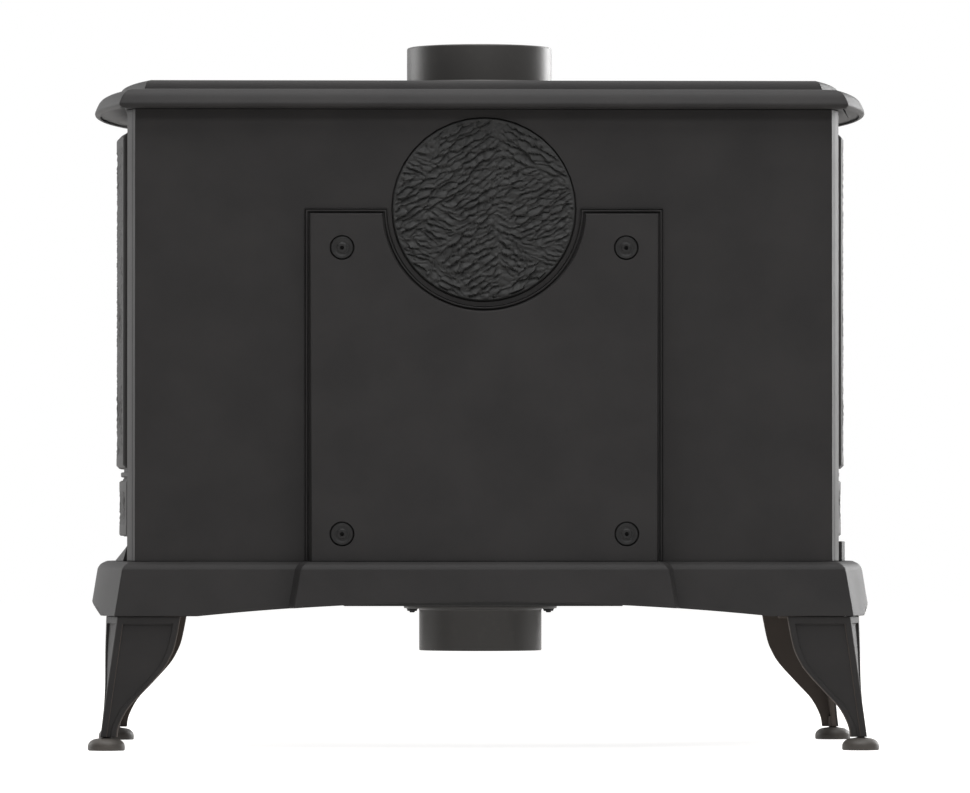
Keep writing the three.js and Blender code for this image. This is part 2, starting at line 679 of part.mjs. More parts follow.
// Flat round head, dished round a raised centre with a six-sided socket
function shieldScrewShape(grip) {
  const { headRadius, head, shankRadius, socket } = shieldScrew;
  const profile = [
    [0, -grip], [shankRadius, -grip], [shankRadius, 0], [headRadius, 0], [headRadius, head - 0.4],
    [headRadius - 0.5, head], [headRadius - 2.6, head], [6.4, head - 1.3], [5, head - 0.2], [0, head - 0.2],
  ];
  return turned(profile, 16).subtract(hexPost([0, 0], [head - 2.4, head + past], socket));
}

function addShieldScrews() {
  const names = ['low_left', 'low_right', 'high_left', 'high_right'];
  shieldScrewPlaces().forEach(([x, z], i) => {
    const seatY = shieldHeadFace(z) - shieldScrew.head;
    const group = groupAt(x, seatY, z);
    group.rotation.x = -Math.PI / 2;
    addPiece(`shield_screw_${names[i]}`, shieldScrewShape(seatY - rearInside - 1), 'blackSteel', group);
  });
}

// ---- Top plate and flue collar ----

const collarScrewPlaces = () => [90, 210, 330].map((degrees) => {
  const angle = THREE.MathUtils.degToRad(degrees);
  const reach = flueRadius + collarFlange.boltLap;
  return [reach * Math.cos(angle), flueCentre + reach * Math.sin(angle)];
});
const flueWay = (span) => uprightHole([0, flueCentre], span, flueRadius - flueWall, roundSides);
const smallScrewHole = (at, span) => uprightHole(at, span, smallScrew.radius + screwFit, 12);

function topPlate() {
  const halfWidth = bodyHalfWidth + plateOverhang.side;
  const halfDepth = bodyHalfDepth + plateOverhang.end;
  const outside = bowedStack(halfWidth, halfDepth, plateBow, plateProfile, bodyTop);
  const eaveTop = bodyTop + eaveHeight;
  const landing = box([-sideFace - 2, sideFace + 2], [-bodyHalfDepth - 2, bodyHalfDepth + 2],
    [bodyTop - 2 * past, eaveTop + past]);
  const behindRim = bowedOutline(halfWidth - plateRim, halfDepth - plateRim, plateBow);
  const eaves = prism(behindRim, [bodyTop - past, eaveTop]).subtract(landing);
  const inside = box([-sideFace + 16, sideFace - 16], [frontInside + 8, rearInside - 8],
    [bodyTop - past, plateTop - plateSkin]);
  const screwHoles = collarScrewPlaces().map(
    (at) => smallScrewHole(at, [plateTop - plateSkin - past, plateTop + past]),
  );
  return cutFrom(outside, [eaves, inside, flueWay([bodyTop, plateTop + past]), ...screwHoles]);
}

function flueCollar() {
  const { lap, height, draft } = collarFlange;
  const base = plateTop + seat;
  const reach = flueRadius + lap;
  const tube = post([0, flueCentre], [base, flueTop], flueRadius, flueRadius, roundSides);
  const flange = post([0, flueCentre], [base, base + height], reach, reach - draft, roundSides);
  const screwHoles = collarScrewPlaces().map((at) => smallScrewHole(at, [base - past, base + height + past]));
  return cutFrom(tube.add(flange), [flueWay([base - past, flueTop + past]), ...screwHoles]);
}

function addCollarScrews() {
  const { radius, head, headHeight } = smallScrew;
  collarScrewPlaces().forEach(([x, y], i) => {
    const under = plateTop + 2 * seat + collarFlange.height;
    const group = groupAt(x, y, under);
    const shank = post([0, 0], [plateTop - plateSkin - under, 1], radius, radius, 12);
    addPiece(`collar_screw_${i + 1}`, hexPost([0, 0], [0, headHeight], head).add(shank), 'blackSteel', group);
  });
}

// ---- Air inlet under the body ----

const bottomPlateZ = [plinthTop + seat, plinthTop + seat + bottomThickness];

function bottomPlate() {
  const halfWidth = facetX(wallSpan[1]) - castWall - 1;
  const plate = box([-halfWidth, halfWidth], [frontInside + 1, rearInside - 1], bottomPlateZ);
  const slot = box([-airSlot.halfWidth, airSlot.halfWidth], [airSlot.front, airSlot.rear],
    [bottomPlateZ[0] - past, bottomPlateZ[1] + past]);
  return plate.subtract(slot);
}

const inletBoltPlaces = () => [-1, 1].map((side) => [side * (inlet.radius + inlet.boltLap), inlet.depth]);
const inletWay = (span) => uprightHole([0, inlet.depth], span, inlet.radius - inlet.wall, roundSides);

// Shallow open-topped box, flanged round its top
function airBoxShape() {
  const { halfWidth, front, rear, skin, lip } = airBox;
  const [bottom, top] = [airBoxBottom, plinthTop];
  const body = box([-halfWidth, halfWidth], [front, rear], [bottom, top]);
  const lipRear = Math.min(rear + lip, floorWindow.halfDepth - 1);
  const flange = box([-halfWidth - lip, halfWidth + lip], [front - lip, lipRear], [top - skin, top]);
  const inside = box([skin - halfWidth, halfWidth - skin], [front + skin, rear - skin],
    [bottom + skin, top + past]);
  const floorSpan = [bottom - past, bottom + past];
  const boltHoles = inletBoltPlaces().map((at) => smallScrewHole(at, floorSpan));
  return cutFrom(body.add(flange), [inside, inletWay(floorSpan), ...boltHoles]);
}

function inletSpigot() {
  const { radius, depth, flangeLap, flange } = inlet;
  const top = spigotBottom + inlet.length;
  const tube = post([0, depth], [spigotBottom, top], radius, radius, roundSides);
  const ring = post([0, depth], [top - flange, top], radius + flangeLap, radius + flangeLap, roundSides);
  const boltHoles = inletBoltPlaces().map((at) => smallScrewHole(at, [top - flange - past, top + past]));
  return cutFrom(tube.add(ring), [inletWay([spigotBottom - past, top + past]), ...boltHoles]);
}

function addInletBolts() {
  const { radius, head, headHeight } = smallScrew;
  inletBoltPlaces().forEach(([x, y], i) => {
    const group = groupAt(x, y, airBoxBottom - seat - inlet.flange - seat);
    const shape = hexPost([0, 0], [-headHeight, 0], head).add(post([0, 0], [-1, 14], radius, radius, 12));
    addPiece(`inlet_bolt_${i ? 'right' : 'left'}`, shape, 'blackSteel', group);
  });
}

// ---- Firebox ----

const fireFloorZ = [plinthTop + fireFloor, plinthTop + fireFloor + fireFloorThickness];
const hearthTop = fireFloorZ[1] + seat;
const chamberHalf = sideFace - castWall - 2;

function fireboxFloor() {
  const halfFloor = facetX(wallSpan[1]) - castWall - 1;
  const plate = box([-halfFloor, halfFloor], [frontInside + 1, rearInside - 1], fireFloorZ);
  const [low, high] = [fireFloorZ[0] - past, hearthTop + past];
  const opening = (out, from) => box([-grateSize.halfWidth - out, grateSize.halfWidth + out],
    [-grateSize.halfDepth - out, grateSize.halfDepth + out], [from, high]);
  return cutFrom(plate, [opening(-grateLap, low), opening(running, fireFloorZ[0] + grateLedge)]);
}

// Round-ended slot outline centred on x
function slotPath(x, halfLength, radius) {
  const points = [];
  for (const end of [1, -1]) {
    for (let i = 0; i <= 3; i++) {
      const angle = Math.PI * i / 3;
      const along = halfLength - radius + radius * Math.sin(angle);
      points.push([x + end * radius * Math.cos(angle), end * along]);
    }
  }
  return points;
}

function grate() {
  const { halfWidth, halfDepth, thickness, bar, slots } = grateSize;
  const pitch = (2 * halfWidth - 2 * bar) / slots;
  const holes = Array.from({ length: slots }, (_, i) => (
    slotPath(bar - halfWidth + pitch * (i + 0.5), halfDepth - 14, (pitch - bar) / 2)
  ));
  const low = fireFloorZ[0] + grateLedge + seat;
  return slab(rectangle(halfWidth, -halfDepth, halfDepth), [low, low + thickness], holes);
}

const linerTop = hearthTop + linerHeight;
const linerHalf = chamberHalf - linerGap;
const linerBack = rearInside - 6;
const linerFace = linerBack - linerThickness;
const baffleRise = (linerFrontHeight - linerHeight) / (linerFace - baffleFront);

function rearLiner() {
  return box([-linerHalf, linerHalf], [linerFace, linerBack], [hearthTop, linerTop]);
}

// Side liner: its top edge slopes to carry the baffle
function sideLiner() {
  const rear = linerFace - seat;
  const outline = [[linerFront, hearthTop], [rear, hearthTop], [rear, linerTop],
    [baffleFront, hearthTop + linerFrontHeight], [linerFront, hearthTop + linerFrontHeight]];
  const board = upright(outline, [-linerThickness, 0]).rotate([0, 0, 90]);
  return board.translate([linerHalf - linerThickness, 0, 0]);
}

// Board on top of the liners: level over the rear one, then rising to the front
function baffle() {
  const half = linerHalf - 1;
  const under = (y) => linerTop + baffleSeat + baffleRise * Math.max(0, linerFace - y);
  const edge = [baffleFront, linerFace, linerBack].map((y) => [y, under(y)]);
  const outline = [...edge, ...edge.toReversed().map(([y, z]) => [y, z + baffleThickness])];
  return upright(outline, [-half, half]).rotate([0, 0, 90]);
}

// Bar on two feet that keeps the logs off the glass
function logGuard() {
  const { halfWidth, depth, bottom, height, thickness, foot: { halfLength, reach, top } } = guard;
  const bar = box([-halfWidth, halfWidth], [depth, depth + thickness],
    [hearthTop + bottom, hearthTop + height]);
  const feet = [-halfWidth, halfWidth].map(
    (x) => box([x - halfLength, x + halfLength], [depth, depth + reach], [hearthTop, hearthTop + top]),
  );
  return joined(bar, ...feet);
}

// ---- Front frame ----

const doorZ = [plinthTop + doorOpening.bottom - doorLap, plinthTop + doorOpening.top + doorLap];
const doorHalf = doorOpening.halfWidth + doorLap;
const doorBack = frontFace - doorGap;
const doorFront = doorBack - doorThickness;
const hingeX = -doorHalf - hingeOffset;
const hingeY = doorBack - hingeRadius;
const hingeHeights = [doorZ[0] + hingeInset, doorZ[1] - hingeInset];
const airwashZ = (doorZ[1] + bodyTop) / 2 + 2;
const ashZ = [plinthTop + ashOpening.bottom, plinthTop + ashOpening.top];
const damperRodZ = bottomPlateZ[1] + seat + damperRod.radius;

// Raised edge round the fire door opening that presses into the rope
const ropeRidge = () => ropeFrame(ridge.width, [frontFace - ridge.height, frontFace + 1]);

const pinHole = (span) => uprightHole([hingeX, hingeY], span, pinRadius + screwFit, 12);

// Hinge lug on the frame, below the door's own lug
function frameLug(z) {
  const span = [z - hingeLength, z - running / 2];
  const barrel = post([hingeX, hingeY], span, hingeRadius, hingeRadius, 18);
  const web = box([hingeX - hingeRadius, hingeX + hingeRadius], [hingeY, frontFace + 1], span);
  return barrel.add(web).subtract(pinHole([span[0] - past, span[1] + past]));
}

// Slots in the frame and the slide behind it that let air down over the glass
function airwashSlots(span, middle) {
  const { slotHalfLength, slotHalfHeight, slotPlaces } = airwash;
  return slotPlaces.map((x) => box([x - slotHalfLength, x + slotHalfLength], span,
    [middle - slotHalfHeight, middle + slotHalfHeight]));
}

function frontFrame() {
  const wall = mirrorY(prism(endOutline(frontThickness), wallRise));
  const through = [frontFace - 2 * past, frontInside + 2 * past];
  const { halfWidth, bottom, top } = doorOpening;
  const fire = upright(rectangle(halfWidth, plinthTop + bottom, plinthTop + top), through);
  const ash = upright(rectangle(ashOpening.halfWidth, ...ashZ), through);
  const rodHole = rod([damperRod.x, damperRodZ], through, damperRod.radius + running, 24);
  const studReach = airwash.travel + airwash.studRadius + 1;
  const studHeight = airwash.studRadius + running;
  const studSlot = box([-studReach, studReach], through, [airwashZ - studHeight, airwashZ + studHeight]);
  const open = cutFrom(wall, [fire, ash, rodHole, studSlot, ...airwashSlots(through, airwashZ)]);
  return joined(open, ropeRidge(), ...hingeHeights.map(frameLug));
}

// ---- Fire door: drawn about its hinge axis ----

const windowHalf = doorOpening.halfWidth - windowInset;
const windowZ = [doorZ[0] + doorLap + windowInset, doorZ[1] - doorLap - windowInset];
const rebateHalf = windowHalf + glassLap;
const rebateZ = [windowZ[0] - glassLap, windowZ[1] + glassLap];
const rebateDepth = 8.5;
const earX = doorHalf + ear.reach - 7;
const earZ = (doorZ[0] + doorZ[1]) / 2;
const tongueFront = doorFront + ear.thickness + running;

function doorLug(z) {
  const span = [z + running / 2, z + hingeLength];
  const barrel = post([hingeX, hingeY], span, hingeRadius, hingeRadius, 18);
  const arm = box([hingeX, -doorHalf + 3], [hingeY - hingeRadius, hingeY + hingeRadius - 0.2], span);
  return barrel.add(arm).subtract(pinHole([span[0] - past, span[1] + past]));
}

function doorFrame() {
  const casting = facedSlab(doorHalf, doorZ, [doorFront, doorBack], doorBevel);
  const splay = [[windowSplay, doorFront - 0.1], [0, doorFront + windowSplay], [0, doorBack + past]];
  const window = loft(splay.toReversed().map(([out, y]) => (
    rectangle(windowHalf + out, windowZ[0] - out, windowZ[1] + out)
      .map(([x, z]) => new THREE.Vector3(x, z, -y))
  ))).rotate([90, 0, 0]);
  const rebate = upright(rectangle(rebateHalf + running, rebateZ[0] - running, rebateZ[1] + running),
    [doorBack - rebateDepth, doorBack + past]);
  const earPlate = box([doorHalf - 10, doorHalf + ear.reach], [doorFront, doorFront + ear.thickness],
    [earZ - ear.halfHeight, earZ + ear.halfHeight]);
  const shaftHole = rod([earX, earZ], [doorFront - past, doorBack + past], handle.shaftRadius + screwFit, 24);
  const frame = cutFrom(casting, [window, rebate, ropeChannel()]);
  return joined(frame, earPlate, ...hingeHeights.map(doorLug)).subtract(shaftHole);
}

// Rectangular ring that follows the middle of the rope
function ropeFrame(width, [y0, y1]) {
  const middle = doorOpening.halfWidth + ropeOffset;
  const z0 = plinthTop + doorOpening.bottom - ropeOffset;
  const z1 = plinthTop + doorOpening.top + ropeOffset;
  const half = width / 2;
  return upright(rectangle(middle + half, z0 - half, z1 + half), [y0, y1],
    [rectangle(middle - half, z0 + half, z1 - half).reverse()]);
}

const ropeChannel = () => ropeFrame(ropeWidth + 2 * seat, [doorBack - ropeDepth, doorBack + past]);
const doorRope = () => ropeFrame(ropeWidth, [doorBack - ropeDepth + seat, frontFace - ridge.height - seat]);

function doorGlass() {
  const back = doorBack - rebateDepth + seat;
  return upright(rectangle(rebateHalf, ...rebateZ), [back, back + glassThickness]);
}

// Cranked clip: one foot on the door, the other on the glass
function glassClip() {
  const { halfWidth, thickness, upper, lower, screwRadius } = clip;
  const step = rebateDepth - seat - glassThickness;
  const back = doorBack + seat + thickness;
  const onDoor = box([-halfWidth, halfWidth], [doorBack + seat, back], [-lower / 3, upper]);
  const onGlass = box([-halfWidth, halfWidth], [doorBack - step + seat, back], [-lower, -clipSetout - seat]);
  const head = rod([0, upper / 2], [back - 1, back + 2], screwRadius, 10);
  return joined(onDoor, onGlass, head);
}

function addGlassClips(parent) {
  const middleZ = (rebateZ[0] + rebateZ[1]) / 2;
  const out = running + clipSetout;
  const places = [
    ['top', 0, rebateZ[1] + out, 0], ['bottom', 0, rebateZ[0] - out, Math.PI],
    ['left', -rebateHalf - out, middleZ, -Math.PI / 2], ['right', rebateHalf + out, middleZ, Math.PI / 2],
  ];
  for (const [name, x, z, turn] of places) {
    const group = groupAt(x - hingeX, -hingeY, z, parent);
    group.rotation.y = turn;
    addPiece(`glass_clip_${name}`, glassClip(), 'blackSteel', group);
  }
}

function hingePin(z) {
  const top = z + hingeLength;
  const head = post([0, 0], [top + running / 2, top + pinHead.height], pinHead.radius, pinHead.radius - 1, 16);
  return post([0, 0], [z - hingeLength, top + 1], pinRadius, pinRadius, 16).add(head);
}

// Shaft through the door's ear with the latch tongue on its inner end; released, the tongue points up
function handleSpindle() {
  const tongueY = [tongueFront, tongueFront + tongue.thickness];
  const shaft = rod([0, 0], [doorFront - handle.shaftEnd, tongueY[1]], handle.shaftRadius, 24);
  const cam = box([-tongue.halfWidth, tongue.halfWidth], tongueY, [-tongue.heel, tongue.length]);
  return shaft.add(cam);
}

// Lever hanging from the shaft, with a turned grip
function handleGrip() {
  const { shaftRadius, shaftEnd, hubRadius, leverLength, gripLength, gripRadius, reach } = handle;
  const outer = frontFace - reach;
  const hub = rod([0, 0], [outer + 3, doorFront - seat], hubRadius, 20);
  const arm = box([-5, 5], [outer + 5, outer + 15], [gripLength - leverLength - 4, 0]);
  const profile = [[0, 0], [6, 0], [gripRadius - 1.5, 6], [gripRadius, gripLength * 0.6],
    [gripRadius - 2.5, gripLength - 8], [gripRadius - 2.5, gripLength], [0, gripLength]];
  const grip = turned(profile, 16).translate([0, outer + gripRadius, -leverLength]);
  const shaftHole = rod([0, 0], [doorFront - shaftEnd - seat, doorFront + past], shaftRadius + screwFit, 16);
  return joined(hub, arm, grip).subtract(shaftHole);
}

// Catch on the front frame: the tongue turns in behind its lip
function doorKeeper() {
  const { halfHeight, foot: footWidth, plate, lip, pocket } = keeper;
  const edge = doorHalf + ear.reach + 1;
  const height = [earZ - halfHeight, earZ + halfHeight];
  const lipBack = tongueFront - 1;
  const base = box([edge + pocket, edge + footWidth], [frontFace - seat - plate, frontFace - seat], height);
  const web = box([edge + pocket, edge + pocket + lip], [lipBack - lip, frontFace - seat], height);
  return joined(base, web, box([edge, edge + pocket + lip], [lipBack - lip, lipBack], height));
}

function addFireDoor() {
  const door = groupAt(hingeX, hingeY, 0);
  const about = (shape) => shape.translate([-hingeX, -hingeY, 0]);
  addPiece('door_frame', about(doorFrame()), 'castPaint', door);
  addPiece('door_rope', about(doorRope()), 'rope', door);
  addPiece('door_glass', about(doorGlass()), 'ceramicGlass', door);
  addGlassClips(door);
  const turning = groupAt(earX - hingeX, -hingeY, earZ, door);
  addPiece('handle_spindle', handleSpindle(), 'blackSteel', turning);
  addPiece('handle_grip', handleGrip(), 'blackSteel', turning);
  const pins = groupAt(hingeX, hingeY, 0);
  ['lower', 'upper'].forEach((name, i) => {
    addPiece(`hinge_pin_${name}`, hingePin(hingeHeights[i]), 'blackSteel', pins);
  });
  addPiece('door_keeper', doorKeeper(), 'blackSteel');
}

// ---- Ash drawer and air controls ----

const drawerZ = [bottomPlateZ[1] + seat + damperThickness + seat, bottomPlateZ[1] + drawer.height];

function ashDrawer() {
  const half = ashOpening.halfWidth - 2;
  const { rear, skin, faceLap, faceThickness, fieldInset, fieldProud } = drawer;
  const tray = box([-half, half], [doorBack - 2, rear], drawerZ);
  const inside = box([skin - half, half - skin], [frontFace + 2 * skin, rear - skin],
    [drawerZ[0] + skin, drawerZ[1] + past]);
  const faceZ = [ashZ[0] - faceLap.below, ashZ[1] + faceLap.above];
  const face = facedSlab(ashOpening.halfWidth + faceLap.side, faceZ, [doorBack - faceThickness, doorBack], 3);
  const field = facedSlab(ashOpening.halfWidth + faceLap.side - fieldInset,
    [faceZ[0] + fieldInset, faceZ[1] - fieldInset], [doorBack - faceThickness - fieldProud, doorBack - 2], 2);
  return joined(tray.subtract(inside), face, field);
}

// Turned knob on a stem, along the depth
function knob(stem) {
  const profile = [
    [0, 0], [5, 0], [4.4, stem], [8, stem + 4], [knobRadius, stem + 9], [knobRadius - 1, stem + 14],
    [5, stem + 17], [0, stem + 17.5],
  ];
  return turned(profile, 16).rotate([90, 0, 0]);
}

function addAshDrawer() {
  const group = groupAt(0, 0, 0);
  addPiece('ash_drawer', ashDrawer(), 'castPaint', group);
  const front = doorBack - drawer.faceThickness - drawer.fieldProud;
  const handleGroup = groupAt(0, front - seat, (ashZ[0] + ashZ[1]) / 2 + 2, group);
  addPiece('ash_drawer_knob', knob(8), 'blackSteel', handleGroup);
}

// Shutter over the air slot, with an arm and a rod to the front
function airDamper() {
  const { x, radius, reach } = damperRod;
  const low = bottomPlateZ[1] + seat;
  const depth = [airSlot.front - damperLap, airSlot.rear + damperLap];
  const shutter = box([-airSlot.halfWidth - damperLap, x], depth, [low, low + damperThickness]);
  const stem = rod([x, damperRodZ], [-reach, airSlot.rear], radius, 20);
  return shutter.add(stem);
}

function addAirControls() {
  const damper = groupAt(0, 0, 0);
  addPiece('air_damper', airDamper(), 'sheetSteel', damper);
  const knobGroup = groupAt(damperRod.x, -damperRod.reach - seat, damperRodZ, damper);
  addPiece('air_control_knob', knob(1), 'blackSteel', knobGroup);
  const wash = groupAt(0, 0, airwashZ);
  addPiece('airwash_slide', airwashSlide(), 'sheetSteel', wash);
  const washKnob = groupAt(0, frontFace - knobSetout, 0, wash);
  addPiece('airwash_knob', airwashKnob(), 'blackSteel', washKnob);
}

// Strip behind the front frame, with windows that meet the frame's slots when it is open
function airwashSlide() {
  const { halfLength, thickness, halfHeight, studRadius } = airwash;
  const back = frontInside + seat;
  const strip = box([-halfLength, halfLength], [back, back + thickness], [-halfHeight, halfHeight]);
  const stud = rod([0, 0], [frontFace - knobSetout + seat, back + 1], studRadius, 20);
  return cutFrom(strip, airwashSlots([back - past, back + past], 0)).add(stud);
}

// Round knob with a smaller face
function airwashKnob() {
  const { knobRadius: radius, knobThickness: thickness } = airwash;
  const face = rod([0, 0], [-thickness, 3 - thickness], radius - 1.5, 16);
  return rod([0, 0], [2 - thickness, 0], radius, 16).add(face);
}

// ---- The stove ----

addPiece('plinth_frame', plinth(), 'castPaint');
addLegsAndFeet();
addPiece('bottom_plate', bottomPlate(), 'sheetSteel');
addPiece('side_wall_right', rightWall(true), 'castPaint');
addPiece('side_wall_left', mirrorX(rightWall(false)), 'castPaint');
addPiece('rear_wall', rearWall(), 'castPaint');
addPiece('front_frame', frontFrame(), 'castPaint');
addPiece('top_plate', topPlate(), 'castPaint');
addPiece('flue_collar', flueCollar(), 'flueSteel');
addCollarScrews();
addPiece('outlet_cover', outletCover(), 'roughCast');
addPiece('outlet_clamp_bar', clampBar(), 'blackSteel');
addPiece('outlet_clamp_bolt', clampBolt(), 'blackSteel');
addPiece('heat_shield', heatShield(), 'castPaint');
addShieldScrews();
addPiece('air_box', airBoxShape(), 'sheetSteel');
addPiece('inlet_spigot', inletSpigot(), 'flueSteel');
addInletBolts();
addPiece('firebox_floor', fireboxFloor(), 'bareCast');
addPiece('grate', grate(), 'bareCast');
addPiece('liner_rear', rearLiner(), 'vermiculite');
addPiece('liner_right', sideLiner(), 'vermiculite');
addPiece('liner_left', mirrorX(sideLiner()), 'vermiculite');
addPiece('baffle', baffle(), 'vermiculite');
addPiece('log_guard', logGuard(), 'blackSteel');
addFireDoor();
addAshDrawer();
addAirControls();

export default stove;
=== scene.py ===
import json
import math

import bpy
import bmesh
from mathutils import Matrix, Vector, noise


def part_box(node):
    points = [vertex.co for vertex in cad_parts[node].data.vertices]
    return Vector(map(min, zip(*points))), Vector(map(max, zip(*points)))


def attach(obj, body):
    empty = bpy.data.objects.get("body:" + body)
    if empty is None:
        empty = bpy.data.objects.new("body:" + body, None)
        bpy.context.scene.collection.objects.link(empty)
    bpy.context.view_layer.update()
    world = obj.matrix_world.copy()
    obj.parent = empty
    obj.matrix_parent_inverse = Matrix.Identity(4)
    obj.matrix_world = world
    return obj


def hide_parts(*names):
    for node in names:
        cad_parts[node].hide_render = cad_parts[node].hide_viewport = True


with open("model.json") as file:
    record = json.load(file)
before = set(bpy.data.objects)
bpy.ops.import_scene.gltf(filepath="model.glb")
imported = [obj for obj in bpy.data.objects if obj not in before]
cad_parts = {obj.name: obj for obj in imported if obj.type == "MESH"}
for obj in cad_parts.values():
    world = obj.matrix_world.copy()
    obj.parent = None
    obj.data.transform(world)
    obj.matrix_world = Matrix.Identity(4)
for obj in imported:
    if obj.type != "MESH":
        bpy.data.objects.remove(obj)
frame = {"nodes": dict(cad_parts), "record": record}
scene = bpy.context.scene
scene.view_settings.view_transform = "Standard"
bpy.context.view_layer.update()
mm = 0.001
print("frame loaded")

# Everything below is drawn in millimetres in the frame's own axes: the fire door faces -Y, the rear is +Y.


def metres(x, y, z):
    return Vector((x, y, z)) * mm


def nodeBox(name):
    low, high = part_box(name)
    return low / mm, high / mm


# Camera: the photograph's view, from behind the stove
view = {"from": (179, 7800, 220), "to": (-1.1, 200, 353.5), "sensor": 36, "frameWidth": 970, "reach": 60}


def addCamera():
    start, target = metres(*view["from"]), metres(*view["to"])
    data = bpy.data.cameras.new("camera")
    data.sensor_width = view["sensor"]
    data.lens = view["sensor"] * (target - start).length / mm / view["frameWidth"]
    data.clip_end = view["reach"]
    camera = bpy.data.objects.new("camera", data)
    camera.location = start
    camera.rotation_euler = (target - start).to_track_quat("-Z", "Y").to_euler()
    scene.collection.objects.link(camera)
    scene.camera = camera


addCamera()
print("camera placed")


# A socket that takes part in expressions, and the way to every other node
class Wire:
    def __init__(self, tree, socket=None):
        self.tree = tree
        self.socket = socket

    def node(self, kind, settings=None, inputs=None, out=0):
        made = self.tree.nodes.new(kind)
        for name, value in (settings or {}).items():
            if name == "stops":
                setStops(made.color_ramp, value)
            else:
                setattr(made, name, value)
        for name, value in (inputs or {}).items():
            if isinstance(value, Wire):
                self.tree.links.new(value.socket, made.inputs[name])
            else:
                made.inputs[name].default_value = value
        return Wire(self.tree, made.outputs[out]) if made.outputs else None

    def math(self, operation, first, second):
        return self.node("ShaderNodeMath", {"operation": operation}, {0: first, 1: second})

    def __add__(self, other):
        return self.math("ADD", self, other)

    def __rsub__(self, other):
        return self.math("SUBTRACT", other, self)

    def __mul__(self, other):
        return self.math("MULTIPLY", self, other)

    __radd__ = __add__
    __rmul__ = __mul__


def setStops(colorRamp, stops):
    while len(colorRamp.elements) < len(stops):
        colorRamp.elements.new(0.5)
    for element, (spot, value) in zip(colorRamp.elements, stops):
        element.position = spot
        element.color = (value, value, value, 1)


def ramp(value, *stops):
    return value.node("ShaderNodeValToRGB", {"stops": stops}, {"Fac": value})


# The mix node's colour sockets share their names with its other sockets
mixSockets = {"factor": 0, "low": 6, "high": 7, "result": 2}


def mixColours(factor, low, high):
    low, high = [c if isinstance(c, Wire) else (*c, 1) for c in (low, high)]
    return factor.node("ShaderNodeMix", {"data_type": "RGBA"}, {
        mixSockets["factor"]: factor, mixSockets["low"]: low, mixSockets["high"]: high,
    }, out=mixSockets["result"])


# Coordinates that stay with a piece
def pieceCoordinates(wire):
    return wire.node("ShaderNodeTexCoord", out="Object")


def spread(wire, scale):
    return wire.node("ShaderNodeMapping", None, {"Vector": pieceCoordinates(wire), "Scale": scale})


# Noise whose lumps are about size millimetres across
def cloud(wire, size, detail=3.0, where=None, coarseness=0.55):
    return wire.node("ShaderNodeTexNoise", None, {
        "Vector": where or pieceCoordinates(wire), "Scale": 1 / (size * mm), "Detail": detail,
        "Roughness": coarseness,
    })


def cells(wire, size, where=None):
    return wire.node("ShaderNodeTexVoronoi", None, {
        "Vector": where or pieceCoordinates(wire), "Scale": 1 / (size * mm),
    })


def newMaterial(name):
    material = bpy.data.materials.new(name)
    material.use_nodes = True
    material.node_tree.nodes.clear()
    return material, Wire(material.node_tree)


# Chains the bumps, each a height and its depth in millimetres, and closes the material
def closeMaterial(material, wire, inputs, bumps):
    feeds = {}
    for height, depth in bumps:
        feeds = {**feeds, "Height": height, "Distance": depth * mm, "Strength": 1.0}
        feeds = {"Normal": wire.node("ShaderNodeBump", None, feeds)}
    surface = wire.node("ShaderNodeBsdfPrincipled", None, {**inputs, **feeds})
    wire.node("ShaderNodeOutputMaterial", None, {"Surface": surface})
    return material


# Matt stove paint over sand-cast iron
castLook = {
    "colour": (0.0225, 0.0216, 0.0218), "dusty": (0.0285, 0.0272, 0.0272), "grain": 0.9, "grainDepth": 0.05,
    "swell": 9, "swellDepth": 0.10, "patch": 70, "roughness": (0.5, 0.62), "gloss": 0.17,
}
fleck = {"size": 2.6, "from": 0.62, "to": 0.74, "share": 0.25, "shade": 0.75}
patchSpread = {"from": 0.35, "to": 0.68}
grainRoughness = 0.05
# How far a face turns inward before it takes the painted light of the inside colour
paintedLightFacing = {"from": -0.08, "to": -0.14}


def castPaint(name="castPaint", look=castLook):
    material, wire = newMaterial(name)
    patch = cloud(wire, look["patch"], 4)
    grain = cloud(wire, look["grain"], 2)
    swell = cloud(wire, look["swell"], 3)
    spots = ramp(cloud(wire, fleck["size"], 2), (fleck["from"], 0), (fleck["to"], 1))
    dusty = ramp(patch, (patchSpread["from"], 0), (patchSpread["to"], 1))
    colour = mixColours(dusty, look["colour"], look["dusty"])
    colour = mixColours(spots * fleck["share"], colour, tuple(fleck["shade"] * c for c in look["colour"]))
    # Faces turned inward are mixed towards the look's inside colour: painted light that lightens them
    if "inside" in look:
        facing = wire.node("ShaderNodeVectorMath", {"operation": "DOT_PRODUCT"}, {
            0: pieceCoordinates(wire), 1: wire.node("ShaderNodeTexCoord", out="Normal"),
        }, out="Value")
        inward = wire.node("ShaderNodeMapRange", None, {
            "Value": facing, "From Min": paintedLightFacing["from"], "From Max": paintedLightFacing["to"],
        })
        colour = mixColours(inward, colour, look["inside"])
    low, high = look["roughness"]
    rough = low + (high - low) * patch + grainRoughness * grain
    return closeMaterial(material, wire, {
        "Base Color": colour, "Roughness": rough, "Specular IOR Level": look["gloss"],
    }, [(swell, look["swellDepth"]), (grain, look["grainDepth"])])


# Legs: painted outside; the faces turned inward get a lighter brown, painted light for the light these lamps
# don't bring under the stove
legPaintedLightLook = {**castLook, "inside": (0.1, 0.084, 0.074)}

# Coarse as-cast skin: the same paint over a grittier surface
roughLook = {
    "colour": (0.0245, 0.0247, 0.0247), "dusty": (0.033, 0.0333, 0.0333), "grain": 1.3, "grainDepth": 0.12,
    "swell": 5, "swellDepth": 0.12, "patch": 30, "roughness": (0.5, 0.64), "gloss": 0.24,
}

# Bare iron inside the fire: sooty and dull
sootLook = {
    "colour": (0.02, 0.018, 0.017), "dusty": (0.055, 0.05, 0.045), "grain": 1.1, "grainDepth": 0.12,
    "swell": 6, "swellDepth": 0.15, "patch": 40, "roughness": (0.65, 0.85), "gloss": 0.3,
}

